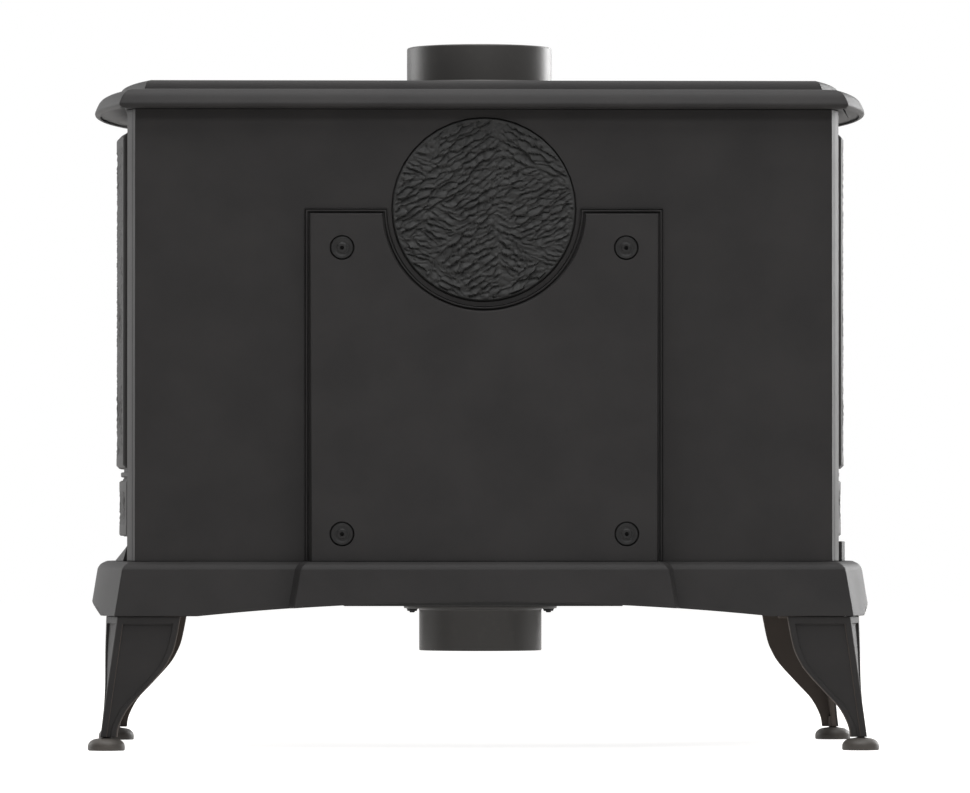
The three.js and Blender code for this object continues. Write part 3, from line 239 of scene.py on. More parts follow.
# Iron of the levelling feet, a little browner than the paint
footLook = {
    "colour": (0.05, 0.045, 0.04), "dusty": (0.07, 0.062, 0.055), "grain": 0.8, "grainDepth": 0.05,
    "swell": 5, "swellDepth": 0.05, "patch": 18, "roughness": (0.45, 0.6), "gloss": 0.4,
}

steelMarks = {"brush": 7, "rubbed": 11, "from": 0.55, "to": 0.75, "grain": 0.8}
steelLook = {
    "colour": (0.0145, 0.0143, 0.0145), "worn": (0.024, 0.024, 0.024), "roughness": (0.46, 0.58), "metal": 0.05,
    "brush": (1, 1, 14), "depth": 0.02, "gloss": 0.25, "grainDepth": 0.015,
}


# Blackened or painted steel with faint drawing marks and rubbed spots
def blackSteel(name="blackSteel", look=steelLook):
    material, wire = newMaterial(name)
    marks = cloud(wire, steelMarks["brush"], 3, spread(wire, look["brush"]))
    rubbed = ramp(cloud(wire, steelMarks["rubbed"], 4), (steelMarks["from"], 0), (steelMarks["to"], 1))
    low, high = look["roughness"]
    return closeMaterial(material, wire, {
        "Base Color": mixColours(rubbed, look["colour"], look["worn"]), "Metallic": look["metal"],
        "Roughness": low + (high - low) * marks, "Specular IOR Level": look["gloss"],
    }, [(marks, look["depth"]), (cloud(wire, steelMarks["grain"], 2), look["grainDepth"])])


sheetLook = {
    "colour": (0.028, 0.028, 0.028), "worn": (0.045, 0.045, 0.044), "roughness": (0.42, 0.55), "metal": 0.15,
    "brush": (1, 8, 1), "depth": 0.03, "gloss": 0.3, "grainDepth": 0.015,
}

# Collar and spigot: satin grey-black heat-proof paint on rolled steel
flueLook = {
    "colour": (0.043, 0.041, 0.039), "worn": (0.05, 0.0475, 0.045), "roughness": (0.4, 0.47), "metal": 0.25,
    "brush": (1, 1, 6), "depth": 0.03, "gloss": 0.5, "grainDepth": 0.035,
}

glassLook = {
    "colour": (0.8, 0.76, 0.7), "roughness": 0.03, "index": 1.5, "soot": (0.03, 0.025, 0.02),
    "sootRoughness": 0.9, "film": 90, "thin": (0.42, 0.06), "thick": (0.8, 0.45),
}


# Ceramic glass, lightly sooted
def ceramicGlass():
    material, wire = newMaterial("ceramicGlass")
    clear = wire.node("ShaderNodeBsdfPrincipled", None, {
        "Base Color": (*glassLook["colour"], 1), "Roughness": glassLook["roughness"], "IOR": glassLook["index"],
        "Transmission Weight": 1.0,
    })
    soot = wire.node("ShaderNodeBsdfPrincipled", None, {
        "Base Color": (*glassLook["soot"], 1), "Roughness": glassLook["sootRoughness"],
    })
    film = ramp(cloud(wire, glassLook["film"], 5), glassLook["thin"], glassLook["thick"])
    both = wire.node("ShaderNodeMixShader", None, {0: film, 1: clear, 2: soot})
    wire.node("ShaderNodeOutputMaterial", None, {"Surface": both})
    return material


ropeLook = {
    "colour": (0.30, 0.29, 0.26), "soot": (0.09, 0.085, 0.08), "smoke": 25, "clear": 0.35, "sooty": 0.7,
    "roughness": 0.95, "sheen": 0.3, "strand": 0.6, "depth": 0.12,
}


# Glass-fibre rope, greyed by smoke
def glassRope():
    material, wire = newMaterial("glassRope")
    look = ropeLook
    smoke = ramp(cloud(wire, look["smoke"], 4), (look["clear"], 0), (look["sooty"], 1))
    return closeMaterial(material, wire, {
        "Base Color": mixColours(smoke, look["colour"], look["soot"]), "Roughness": look["roughness"],
        "Sheen Weight": look["sheen"],
    }, [(cloud(wire, look["strand"], 3), look["depth"])])


boardLook = {
    "colour": (0.42, 0.31, 0.17), "flake": (0.58, 0.47, 0.29), "scorch": (0.09, 0.075, 0.06), "flakeSize": 4,
    "flat": (1, 1, 2.2), "poreSize": 5, "scorchSize": 120, "roughness": 0.93, "gloss": 0.2, "flakeDepth": 0.25,
    "poreDepth": 0.3,
}


# Pressed vermiculite: golden flakes, pores and scorching
def vermiculite():
    material, wire = newMaterial("vermiculite")
    look = boardLook
    flakes = cells(wire, look["flakeSize"], spread(wire, look["flat"]))
    pores = ramp(cells(wire, look["poreSize"]), (0.0, 0), (0.22, 1))
    scorch = ramp(cloud(wire, look["scorchSize"], 5), (0.42, 0), (0.62, 0.85))
    colour = mixColours(ramp(flakes, (0.1, 0), (0.6, 1)), look["flake"], look["colour"])
    return closeMaterial(material, wire, {
        "Base Color": mixColours(scorch, colour, look["scorch"]), "Roughness": look["roughness"],
        "Specular IOR Level": look["gloss"],
    }, [(flakes, look["flakeDepth"]), (pores, look["poreDepth"])])


looks = {
    "cast_paint": castPaint(),
    "rough_cast": castPaint("roughCast", roughLook),
    "bare_cast": castPaint("sootyIron", sootLook),
    "foot_iron": castPaint("footIron", footLook),
    # leg_paint: the cast paint with painted light lightening the faces turned inward
    "leg_paint": castPaint("legPaintPaintedLight", legPaintedLightLook),
    "sheet_steel": blackSteel("sheetSteel", sheetLook),
    "black_steel": blackSteel(),
    "flue_steel": blackSteel("flueSteel", flueLook),
    "ceramic_glass": ceramicGlass(),
    "rope": glassRope(),
    "vermiculite": vermiculite(),
}
slotOf = {part["node"]: part["material_slot"] for part in frame["record"]["subparts"]}
bodyOf = {node: body for body, nodes in frame["record"]["behaviour"]["bodies"].items() for node in nodes}
print("materials made")


# Studio: pale floor, white surroundings, a broad light overhead and softer ones at the sides
studio = {
    "floorSize": 30, "floorColour": (0.52, 0.5, 0.48), "worldLow": 0.2, "worldHigh": 0.36,
    "mirrorFront": 1.0, "mirrorRear": 0.2, "mirrorLeft": 0.3, "floorGlow": 0.12, "floorSeen": 0.85,
    "rearward": (-0.2, 0.9), "leftward": (0.2, 0.9), "upward": (-0.5, 1),
}
lamps = {
    "overhead": {"at": (0, 600, 3200), "to": (0, 0, 300), "size": (3000, 2200), "power": 100},
    "rimRight": {"at": (-3300, -3600, 1500), "to": (0, 0, 350), "size": (2200, 2400), "power": 170},
    "rimLeft": {"at": (3800, -2600, 1500), "to": (0, 0, 350), "size": (2200, 2400), "power": 80},
    "rear": {"at": (-600, 3900, 3900), "to": (0, 0, 350), "size": (1500, 900), "power": 80},
}


# Changes smoothly from one value to another along an axis of the world's directions
def gradient(wire, axis, start, end, low, high):
    direction = wire.node("ShaderNodeTexCoord", out="Generated")
    return wire.node("ShaderNodeMapRange", None, {
        "Value": wire.node("ShaderNodeSeparateXYZ", None, {0: direction}, out=axis),
        "From Min": start, "From Max": end, "To Min": low, "To Max": high,
    })


def rays(wire, *kinds):
    return [wire.node("ShaderNodeLightPath", out=f"Is {kind} Ray") for kind in kinds]


def addWorld():
    world = bpy.data.worlds.new("studio")
    scene.world = world
    world.use_nodes = True
    world.node_tree.nodes.clear()
    wire = Wire(world.node_tree)
    toCamera, toGloss, toGlass = rays(wire, "Camera", "Glossy", "Transmission")
    rearward = gradient(wire, "Y", *studio["rearward"], studio["mirrorFront"], studio["mirrorRear"])
    leftward = gradient(wire, "X", *studio["leftward"], studio["mirrorFront"], studio["mirrorLeft"])
    upward = gradient(wire, "Z", *studio["upward"], studio["worldLow"], studio["worldHigh"])
    seen = wire.math("MAXIMUM", toCamera, toGlass)
    strength = seen + toGloss * rearward * leftward + (1 - wire.math("MAXIMUM", seen, toGloss)) * upward
    sky = wire.node("ShaderNodeBackground", None, {"Color": (1, 1, 1, 1), "Strength": strength})
    wire.node("ShaderNodeOutputWorld", None, {"Surface": sky})


def addFloor():
    bpy.ops.mesh.primitive_plane_add(size=studio["floorSize"])
    floor = bpy.context.object
    floor.name = "floor"
    material, wire = newMaterial("floorPaint")
    toCamera, toGloss = rays(wire, "Camera", "Glossy")
    diffuse = wire.node("ShaderNodeBsdfDiffuse", None, {"Color": (*studio["floorColour"], 1)})
    seen = wire.math("MAXIMUM", toCamera, toGloss)
    glow = studio["floorGlow"] + (studio["floorSeen"] - studio["floorGlow"]) * seen
    bright = wire.node("ShaderNodeEmission", None, {"Color": (1, 1, 1, 1), "Strength": glow})
    wire.node("ShaderNodeOutputMaterial", None, {
        "Surface": wire.node("ShaderNodeAddShader", None, {0: diffuse, 1: bright}),
    })
    floor.data.materials.append(material)


def addLamp(name, lamp):
    data = bpy.data.lights.new(name, "AREA")
    data.shape = "RECTANGLE"
    data.size, data.size_y = (side * mm for side in lamp["size"])
    data.energy = lamp["power"]
    light = bpy.data.objects.new(name, data)
    start, target = metres(*lamp["at"]), metres(*lamp["to"])
    light.location = start
    light.rotation_euler = (target - start).to_track_quat("-Z", "Y").to_euler()
    scene.collection.objects.link(light)


addWorld()
addFloor()
for lampName, lampValues in lamps.items():
    addLamp(lampName, lampValues)
print("studio lit")


# Mesh making: points in millimetres in, an object out
def newPiece(name, points, faces):
    mesh = bpy.data.meshes.new(name)
    mesh.from_pydata([Vector(p) * mm for p in points], [], faces)
    tidyMesh(mesh)
    piece = bpy.data.objects.new(name, mesh)
    scene.collection.objects.link(piece)
    return piece


weldDistance = 0.01


# Welds equal points and turns the faces outward; merges faces that meet at less than an angle
def tidyMesh(mesh, mergeAngle=None):
    work = bmesh.new()
    work.from_mesh(mesh)
    bmesh.ops.remove_doubles(work, verts=work.verts, dist=weldDistance * mm)
    if mergeAngle is not None:
        bmesh.ops.dissolve_limit(work, angle_limit=math.radians(mergeAngle), verts=work.verts, edges=work.edges)
    bmesh.ops.recalc_face_normals(work, faces=work.faces)
    work.to_mesh(mesh)
    work.free()


def ringFaces(rings, count, closed=False):
    faces = []
    for ring in range(rings if closed else rings - 1):
        for i in range(count):
            a, b = ring * count + i, ring * count + (i + 1) % count
            up = ((ring + 1) % rings - ring) * count
            faces.append((a, b, b + up, a + up))
    return faces


# Skin through rings of points, capped at both ends, or closed round on itself
def loft(name, rings, closed=False):
    count = len(rings[0])
    faces = ringFaces(len(rings), count, closed)
    if not closed:
        last = (len(rings) - 1) * count
        faces += [tuple(reversed(range(count))), tuple(range(last, last + count))]
    return newPiece(name, [p for ring in rings for p in ring], faces)


def prism(name, outline, low, high):
    return loft(name, [[(x, y, z) for x, y in outline] for z in (low, high)])


# Outline in X and Z between two depths
def slab(name, outline, near, far):
    return loft(name, [[(x, y, z) for x, z in outline] for y in (near, far)])


def oblong(half, low, high):
    return [(-half, low), (half, low), (half, high), (-half, high)]


# Turned form from (radius, height) points: starts and ends on the axis, or closes on itself as a ring
def turned(name, profile, sides, at=(0, 0, 0), along="Z"):
    ring = profile[0][0] > 0
    rings = [[(r * math.cos(2 * math.pi * i / sides), r * math.sin(2 * math.pi * i / sides), h)
              for i in range(sides)] for r, h in profile]
    piece = loft(name, rings, closed=ring)
    tilt = Matrix.Rotation(math.radians(-90), 4, "X") if along == "Y" else Matrix.Identity(4)
    piece.data.transform(Matrix.Translation(metres(*at)) @ tilt)
    return piece


def plug(name, radius, low, high, sides=72, at=(0, 0, 0), along="Z"):
    return turned(name, [(0, low), (radius, low), (radius, high), (0, high)], sides, at, along)


def bake(piece):
    bpy.context.view_layer.update()
    graph = bpy.context.evaluated_depsgraph_get()
    mesh = bpy.data.meshes.new_from_object(piece.evaluated_get(graph))
    piece.modifiers.clear()
    piece.data = mesh


def combine(piece, operation, *others):
    for other in others:
        step = piece.modifiers.new(operation.lower(), "BOOLEAN")
        step.operation = operation
        step.solver = "MANIFOLD"
        step.object = other
    bake(piece)
    for other in others:
        bpy.data.objects.remove(other)
    tidyMesh(piece.data)
    return piece


def cut(piece, *others):
    return combine(piece, "DIFFERENCE", *others)


def join(piece, *others):
    return combine(piece, "UNION", *others)


def addBevel(piece, edge, angle=32, rounds=2):
    rounding = piece.modifiers.new("edges", "BEVEL")
    rounding.width = edge * mm
    rounding.segments = rounds
    rounding.limit_method = "ANGLE"
    rounding.angle_limit = math.radians(angle)
    rounding.use_clamp_overlap = False
    rounding.miter_outer = "MITER_ARC"


shadingSlack = 8


# Gives a piece its rounded edges, smooth shading, finish and body, and hides the node it stands for
def seatPiece(piece, node, edge=0.6, angle=32, rounds=2, look=None):
    for face in piece.data.polygons:
        face.use_smooth = True
    if edge:
        addBevel(piece, edge, angle, rounds)
    piece.data.set_sharp_from_angle(angle=math.radians(angle + shadingSlack))
    shading = piece.modifiers.new("shading", "WEIGHTED_NORMAL")
    shading.keep_sharp = True
    piece.data.materials.clear()
    piece.data.materials.append(looks[look or slotOf[node]])
    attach(piece, bodyOf[node])
    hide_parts(node)


flatAngle = 0.4


# A finer copy of a plain piece: merged faces and rounded edges
def refine(node):
    mesh = frame["nodes"][node].data.copy()
    mesh.name = node + "_fine"
    tidyMesh(mesh, flatAngle)
    piece = bpy.data.objects.new(node + "_fine", mesh)
    scene.collection.objects.link(piece)
    seatPiece(piece, node)


# Smooth run through points, passing through every one
def smoothRun(points, steps):
    ends = [points[0], *points, points[-1]]
    run = []
    for before, a, b, after in zip(ends, ends[1:], ends[2:], ends[3:]):
        for i in range(steps):
            t = i / steps
            run.append(tuple(0.5 * (2 * q + (r - p) * t + (2 * p - 5 * q + 4 * r - s) * t * t
                                    + (3 * q - p - 3 * r + s) * t ** 3)
                             for p, q, r, s in zip(before, a, b, after)))
    return run + [tuple(points[-1])]


def bowed(halfWidth, halfDepth, bow, steps=44):
    points = []
    for side in (1, -1):
        for i in range(steps + 1):
            t = 2 * i / steps - 1
            points.append((side * (halfWidth + bow * (1 - t * t)), side * t * halfDepth))
    return points


def bowedRings(halfWidth, halfDepth, bow, profile, base):
    return [[(x, y, base + rise) for x, y in bowed(halfWidth - inset, halfDepth - inset, bow)]
            for inset, rise in profile]


body = {"halfWidth": 348.6, "halfDepth": 200, "setout": 8.4, "cornerDepth": 25, "bow": 18.5}


def facetX(y):
    return body["halfWidth"] + body["setout"] * min(1, (body["halfDepth"] - abs(y)) / body["cornerDepth"])


def bowX(y):
    return body["halfWidth"] + body["bow"] * (1 - (y / body["halfDepth"]) ** 2)


topPlate = {
    "bow": 30, "rim": 6, "eaves": 2.5, "steps": 4,
    "lower": [(3.5, 0), (1, 1.5), (0, 4), (1.4, 8), (3.4, 12.4), (5.6, 15.4), (8.6, 17.6), (13.4, 19.3),
              (24.6, 19.6)],
    "upper": [(24.6, 19.6), (25.8, 24), (27.6, 27.4), (30.8, 29.2)],
    "past": 9, "drop": 5, "coreLap": 2, "coreTop": 30, "hollowInset": 16, "hollowEnds": (-182, 184),
    "skin": 9, "way": 69.3,
}


def makeTopPlate():
    low, high = nodeBox("top_plate")
    size = topPlate
    bow, rim, past, drop, lap, steps = (size[key] for key in ("bow", "rim", "past", "drop", "coreLap", "steps"))
    halfWidth, halfDepth = high.x - bow, high.y
    profile = smoothRun(size["lower"], steps) + smoothRun(size["upper"], steps)[1:]
    plate = loft("topPlate", bowedRings(halfWidth, halfDepth, bow, profile, low.z))
    eaves = prism("eaves", bowed(halfWidth - rim, halfDepth - rim, bow), low.z - drop, low.z + size["eaves"])
    reach = body["halfDepth"] + lap
    cut(eaves, slab("core", oblong(facetX(0) + lap, low.z - past, low.z + size["coreTop"]), -reach, reach))
    inside = oblong(facetX(0) - size["hollowInset"], low.z - drop, high.z - size["skin"])
    way = plug("way", size["way"], low.z - past, high.z + past)
    cut(plate, eaves, slab("hollow", inside, *size["hollowEnds"]), way)
    seatPiece(plate, "top_plate", edge=0.9, angle=40)


makeTopPlate()
print("top plate")

plinth = {
    "halfWidth": 368.6, "bow": 30, "skin": 8, "steps": 4, "rear": 220, "past": 9, "window": (300, 182),
    "profile": [(0, 0), (3.6, 22), (7, 43), (8.2, 47.8), (11.4, 51.8), (17, 54.5)], "lean": (7, 43), "crown": 9,
    "arch": {"half": 286, "rise": 14.5, "reach": 300}, "sideArch": {"half": 150, "rise": 13, "reach": 500},
    "archDrop": 10, "archSteps": 30, "bumpTop": 178.5, "bumpBottom": 196, "bumpReach": 27, "bumpDraft": 5,
    "bumpInner": 180, "bumpHollowRing": 12,
}


# Rings of the raised rear segment, whose ends curve inward as they rise
def bumpRings(inset, base):
    full, draft, inner = plinth["profile"][-1][0], plinth["bumpDraft"], plinth["bumpInner"]
    rings = []
    for offset, rise in smoothRun(plinth["profile"], plinth["steps"]):
        root = plinth["bumpBottom"] + (plinth["bumpTop"] - plinth["bumpBottom"]) * offset / full - inset
        face = plinth["rear"] + plinth["bumpReach"] - offset - inset
        shoulder = face - plinth["bumpReach"] + draft
        rings.append([(x, y, base + rise) for x, y in (
            (-root, inner), (root, inner), (root, shoulder), (root - draft, face), (draft - root, face),
            (-root, shoulder))])
    return rings


# A cutter that leaves an arch in a skirt, open at the bottom
def archPiece(arch, base):
    half, rise, reach = arch["half"], arch["rise"], arch["reach"]
    radius = (half ** 2 + rise ** 2) / (2 * rise)
    sweep = math.asin(half / radius)
    steps, foot = plinth["archSteps"], base - plinth["archDrop"]
    crown = [(radius * math.sin(sweep * t), base + rise - radius * (1 - math.cos(sweep * t)))
             for t in (1 - i / steps for i in range(2 * steps + 1))]
    return slab("arch", [(-half, foot), (half, foot), *crown], -reach, reach)


def makePlinth():
    low, high = nodeBox("plinth_frame")
    halfWidth, halfDepth, bow, skin = plinth["halfWidth"], plinth["rear"], plinth["bow"], plinth["skin"]
    profile = smoothRun(plinth["profile"], plinth["steps"])
    casting = loft("plinth", bowedRings(halfWidth, halfDepth, bow, profile, low.z))
    offset, rise = plinth["lean"]
    hollow = loft("hollow", bowedRings(halfWidth, halfDepth, bow, [
        (skin, -1), (skin, 0), (skin + offset, rise), (skin + plinth["crown"], high.z - low.z - skin)], low.z))
    across, deep = plinth["window"]
    window = slab("window", oblong(across, low.z, high.z + plinth["past"]), -deep, deep)
    foot, shoulder = bumpRings(skin, low.z - 1)[0], bumpRings(skin, low.z)[plinth["bumpHollowRing"]]
    bumpHollow = loft("bumpHollow", [[(x, y, min(z, high.z - skin)) for x, y, z in ring]
                                     for ring in (foot, shoulder)])
    sideArch = archPiece(plinth["sideArch"], low.z)
    sideArch.data.transform(Matrix.Rotation(math.radians(90), 4, "Z"))
    join(casting, loft("bump", bumpRings(0, low.z)))
    cut(casting, hollow, window, bumpHollow, archPiece(plinth["arch"], low.z), sideArch)
    seatPiece(casting, "plinth_frame", edge=1.1, angle=30, rounds=3)


makePlinth()
print("plinth")

# Cast skin of small overlapping scales, which lean one way or the other from place to place
wrinkles = {
    "lean": (-27, 24), "long": 11.5, "short": 5.4, "warp": 1.4, "warpSize": 9, "patch": 42, "share": (0.2, 5),
    "edge": 0.8, "rise": 1.3, "sink": 0.9, "tip": 0.6, "fine": 0.3, "fineSize": 2.2, "apart": 20,
}
noiseLayers = {"patch": 7.7, "warpAlong": 1.3, "warpUp": 4.9, "fine": 3.3}


def noiseAt(u, v, size, layer):
    return noise.noise(Vector((u / size, v / size, layer)))


# Height of the wrinkled skin, about -1 to 1: each scale is a pillow whose lower edge stands proud
def wrinkle(u, v):
    first, second = (scaleAt(u, v, lean, wrinkles["apart"] * i) for i, lean in enumerate(wrinkles["lean"]))
    middle, gain = wrinkles["share"]
    share = max(0, min(1, middle + gain * noiseAt(u, v, wrinkles["patch"], noiseLayers["patch"])))
    return first + (second - first) * share


def scaleAt(u, v, lean, seed):
    size = wrinkles
    u += size["warp"] * noiseAt(u, v, size["warpSize"], noiseLayers["warpAlong"] + seed)
    v += size["warp"] * noiseAt(u, v, size["warpSize"], noiseLayers["warpUp"] + seed)
    turn = math.radians(lean)
    along = (u * math.cos(turn) + v * math.sin(turn)) / size["long"]
    across = (v * math.cos(turn) - u * math.sin(turn)) / size["short"]
    (near, far, *_), (middle, *_) = noise.voronoi(Vector((along, across, seed)))
    pillow = min(1, (far - near) / size["edge"])
    pillow = pillow * (2 - pillow)
    tip = size["tip"] * size["short"] * (middle.y - across)
    grit = size["fine"] * noiseAt(u, v, size["fineSize"], noiseLayers["fine"])
    return size["rise"] * pillow - size["sink"] + tip + grit


# Mirror image of a piece of the rear right corner
def mirrored(piece, name, toSide, toRear):
    mesh = piece.data.copy()
    mesh.transform(Matrix.Diagonal((toSide, toRear, 1, 1)))
    tidyMesh(mesh)
    twin = bpy.data.objects.new(name, mesh)
    scene.collection.objects.link(twin)
    return twin


outletCover = {
    "centre": 540.5, "radius": 91, "back": 197.3, "front": 203.3, "chamfer": 0.4, "relief": 0.95,
    "reliefSunk": 0.9, "edge": 1.2, "edgeStart": 0.3, "cells": 150, "fade": 1.6, "ring": (73.4, 79.4),
    "rear": 192, "boss": 12, "bossRear": 194, "bore": 4.3, "boreEnd": 199.3,
}


# A square grid bent onto a disc, so that its outline has evenly spaced points
def discPoint(across, up):
    if abs(across) > abs(up):
        reach, angle = across, math.pi / 4 * up / across
    else:
        reach, angle = up, math.pi / 2 - math.pi / 4 * (across / up if up else 0)
    return reach * math.cos(angle), reach * math.sin(angle)


def makeOutletCover():
    size = outletCover
    radius, back, edge, count = size["radius"], size["back"], size["edge"], size["cells"]
    inner, outer = size["ring"]
    face = size["front"] - size["reliefSunk"] * size["relief"]
    rim, start, chamfer = radius - edge, size["edgeStart"] * edge, size["chamfer"]
    profile = [(0, size["boreEnd"]), (size["bore"], size["boreEnd"]), (size["bore"], size["bossRear"]),
               (size["boss"], size["bossRear"]), (size["boss"], back), (inner, back), (inner, size["rear"]),
               (outer, size["rear"]), (outer, back), (radius - chamfer, back), (radius, back + chamfer),
               (radius, face - edge), (radius - start, face - start), (rim, face)]
    sides = 4 * count
    turns = [2 * math.pi * i / sides for i in range(sides)]
    points = [(r * math.cos(t), y, size["centre"] + r * math.sin(t)) for r, y in profile for t in turns]
    faces = ringFaces(len(profile), sides)
    first = len(points)
    for row in range(count + 1):
        for column in range(count + 1):
            x, z = discPoint(2 * column / count - 1, 2 * row / count - 1)
            fade = min(1, rim * (1 - math.hypot(x, z)) / size["fade"])
            x, z = rim * x, rim * z
            points.append((x, face + size["relief"] * fade * wrinkle(x, z), size["centre"] + z))
    for row in range(count):
        for column in range(count):
            a = first + row * (count + 1) + column
            faces.append((a, a + 1, a + count + 2, a + count + 1))
    seatPiece(newPiece("outletCover", points, faces), "outlet_cover", edge=0, angle=50)


makeOutletCover()
print("outlet cover")

shield = {
    "halfWidth": 179.4, "top": 541.5, "bottom": 188.8, "wall": 200.3, "rim": 203.4, "ledge": 3, "groove": 2.4,
    "grooveWidth": 1.6, "draft": 0.12, "lowest": 188.5, "proudTop": 10, "proudBottom": 25, "skin": 4,
    "below": 5, "cutRadius": 96.4, "cutCentre": 540.5, "steps": 64,
}
shieldScrew = {
    "x": 142, "low": 216, "high": 502, "head": 3.4, "headRadius": 11.3, "sunk": 0.4, "room": 1.1, "boss": 3,
    "bore": 3.3, "shank": 3, "chamfer": 0.5, "socket": 2.3, "socketDepth": 5.5, "past": 9,
    "dish": [(7, -0.95), (5.6, -1), (4.8, -0.5), (4.2, -0.15), (3, 0)],
}


def shieldProud(z):
    share = (shield["top"] - z) / (shield["top"] - shield["lowest"])
    return shield["proudTop"] + (shield["proudBottom"] - shield["proudTop"]) * share


# Outline in X and Z, each point set in by what a formula gives for its height
def shieldOutline(inset, bottom):
    top = shield["top"] - inset(shield["top"])
    foot = shield["halfWidth"] - inset(shield["bottom"])
    centre, radius = shield["cutCentre"], shield["cutRadius"]
    points = [(-foot, bottom), (foot, bottom), (shield["halfWidth"] - inset(top), top)]
    lip = radius + inset(top)
    start = math.asin((centre - top) / lip)
    for i in range(shield["steps"] + 1):
        angle = -start - (math.pi - 2 * start) * i / shield["steps"]
        reach = radius + inset(centre + radius * math.sin(angle))
        points.append((reach * math.cos(angle), centre + reach * math.sin(angle)))
    return [*points, (inset(top) - shield["halfWidth"], top)]


# One ring of the shield's skin, its depth also given for each height
def shieldRing(inset, depth, bottom=None):
    return [(x, depth(z), z) for x, z in shieldOutline(inset, shield["bottom"] if bottom is None else bottom)]


def shieldFace(z):
    return shield["wall"] + shieldProud(z)


# A raised plate inside a narrow ledge with a thin slot and a groove
def makeHeatShield():
    wall, rim, ledge, skin = shield["wall"], shield["rim"], shield["ledge"], shield["skin"]
    groove, inner, below = shield["groove"], ledge + shield["grooveWidth"], shield["bottom"] - shield["below"]

    def slope(z):
        return inner + shield["draft"] * shieldProud(z)

    steps = [(0, wall), (0, rim - 0.4), (0.5, rim - 0.2), (0.6, rim - groove), (1.3, rim - groove), (1.4, rim),
             (ledge, rim), (ledge + 0.2, rim - groove), (inner, rim - groove + 0.1)]
    plate = loft("heatShield", [shieldRing(lambda z, i=i: i, lambda z, y=y: y) for i, y in steps]
                 + [shieldRing(slope, shieldFace)])
    inside = loft("inside", [
        shieldRing(lambda z: skin, lambda z: wall - 2, below),
        shieldRing(lambda z: skin + slope(z), lambda z: shieldFace(z) - skin, below),
    ])
    cut(plate, inside)
    size = shieldScrew
    places = [(side * size["x"], size[row], f"{row}_{'left' if side < 0 else 'right'}")
              for side in (-1, 1) for row in ("low", "high")]
    heads = {}
    pillars, sinks = [], []
    for x, z, place in places:
        face = shieldFace(z + size["headRadius"]) - size["sunk"]
        heads[place] = (x, face, z)
        wide, sunk = size["headRadius"] + size["boss"], size["headRadius"] + size["room"]
        seat = face - size["head"]
        pillars.append(plug("pillar", wide, wall, seat, 48, (x, 0, z), "Y"))
        sinks.append(turned("sink", [
            (0, wall - 2), (size["bore"], wall - 2), (size["bore"], seat - 0.3), (sunk, seat - 0.3),
            (sunk, face + size["past"]), (0, face + size["past"])], 72, (x, 0, z), "Y"))
    join(plate, *pillars)
    cut(plate, *sinks)
    seatPiece(plate, "heat_shield", edge=0.3, angle=35)
    return heads


# Flat round head, dished round a raised boss with a six-sided socket
def makeShieldScrew(place, at):
    size = shieldScrew
    radius, head, shank = size["headRadius"], size["head"], size["shank"]
    x, face, z = at
    dish = smoothRun([(radius - 1.3, 0), (radius - 3.2, -0.35), *size["dish"]], 3)
    low = nodeBox(f"shield_screw_{place}")[0].y
    chamfer = size["chamfer"]
    profile = [(0, low), (shank - chamfer, low), (shank, low + chamfer), (shank, face - head),
               (radius - 0.4, face - head), (radius, face - head + 0.4), (radius, face - 0.9),
               (radius - 0.35, face - 0.25), (radius - 0.9, face), *[(r, face + h) for r, h in dish], (0, face)]
    screw = turned("shieldScrew_" + place, profile, 72, (x, 0, z), "Y")
    socket = plug("socket", size["socket"], face - size["socketDepth"], face + 2, 6, (x, 0, z), "Y")
    cut(screw, socket)
    seatPiece(screw, "shield_screw_" + place, edge=0, angle=40)


for screwPlace, screwAt in makeHeatShield().items():
    makeShieldScrew(screwPlace, screwAt)
print("heat shield and screws")

leg = {
    "top": 133.7, "foot": 13.3, "cornerX": 365.6, "cornerY": 217, "splay": 17.3, "tuck": 7, "skin": 7,
    "sideShare": 0.86, "past": 9, "edge": 1.5, "curve": [
        (0, 17), (0.1, 17.5), (0.241, 24), (0.38, 37), (0.548, 52.3), (0.66, 58.5), (0.77, 61.5), (1, 63)],
    "border": 6.5, "recess": (1.6, 3.2), "drop": 7.2, "head": (43, 37, 6), "chamfer": 1.8, "steps": 5,
    "stem": 3.6, "boss": 4.6, "stemTop": 24, "boreFoot": 5, "boreTop": 26,
}
foot = {"inset": (6, 8.5), "radius": 18.5, "height": 13, "stem": 3.4, "top": 24, "sides": 72}


def legLean(z):
    return (leg["top"] - z) / (leg["top"] - leg["foot"])


def legCorner(z):
    return leg["cornerX"] + leg["splay"] * legLean(z), leg["cornerY"] - leg["tuck"] * legLean(z)


# A point on the side face, which follows the plinth's bowed edge forward from the corner
def legSide(z, along, inward):
    x, y = legCorner(z)
    reach = leg["sideShare"] * leg["curve"][-1][1]
    bend = plinth["bow"] * (1 - ((plinth["rear"] - reach) / plinth["rear"]) ** 2) / reach
    return x + along * bend * (1 - legLean(z)) - inward, y - along


def legRing(z, width):
    x, y = legCorner(z)
    skin, soft, edge, side = leg["skin"], leg["chamfer"], leg["edge"], width * leg["sideShare"]
    outline = [(x - edge, y), (x - width + soft, y), (x - width, y - soft), (x - width, y - skin),
               (x - skin, y - skin), legSide(z, side, skin), legSide(z, side, soft), legSide(z, side - soft, 0),
               (x, y - edge)]
    return [(a, b, z) for a, b in outline]


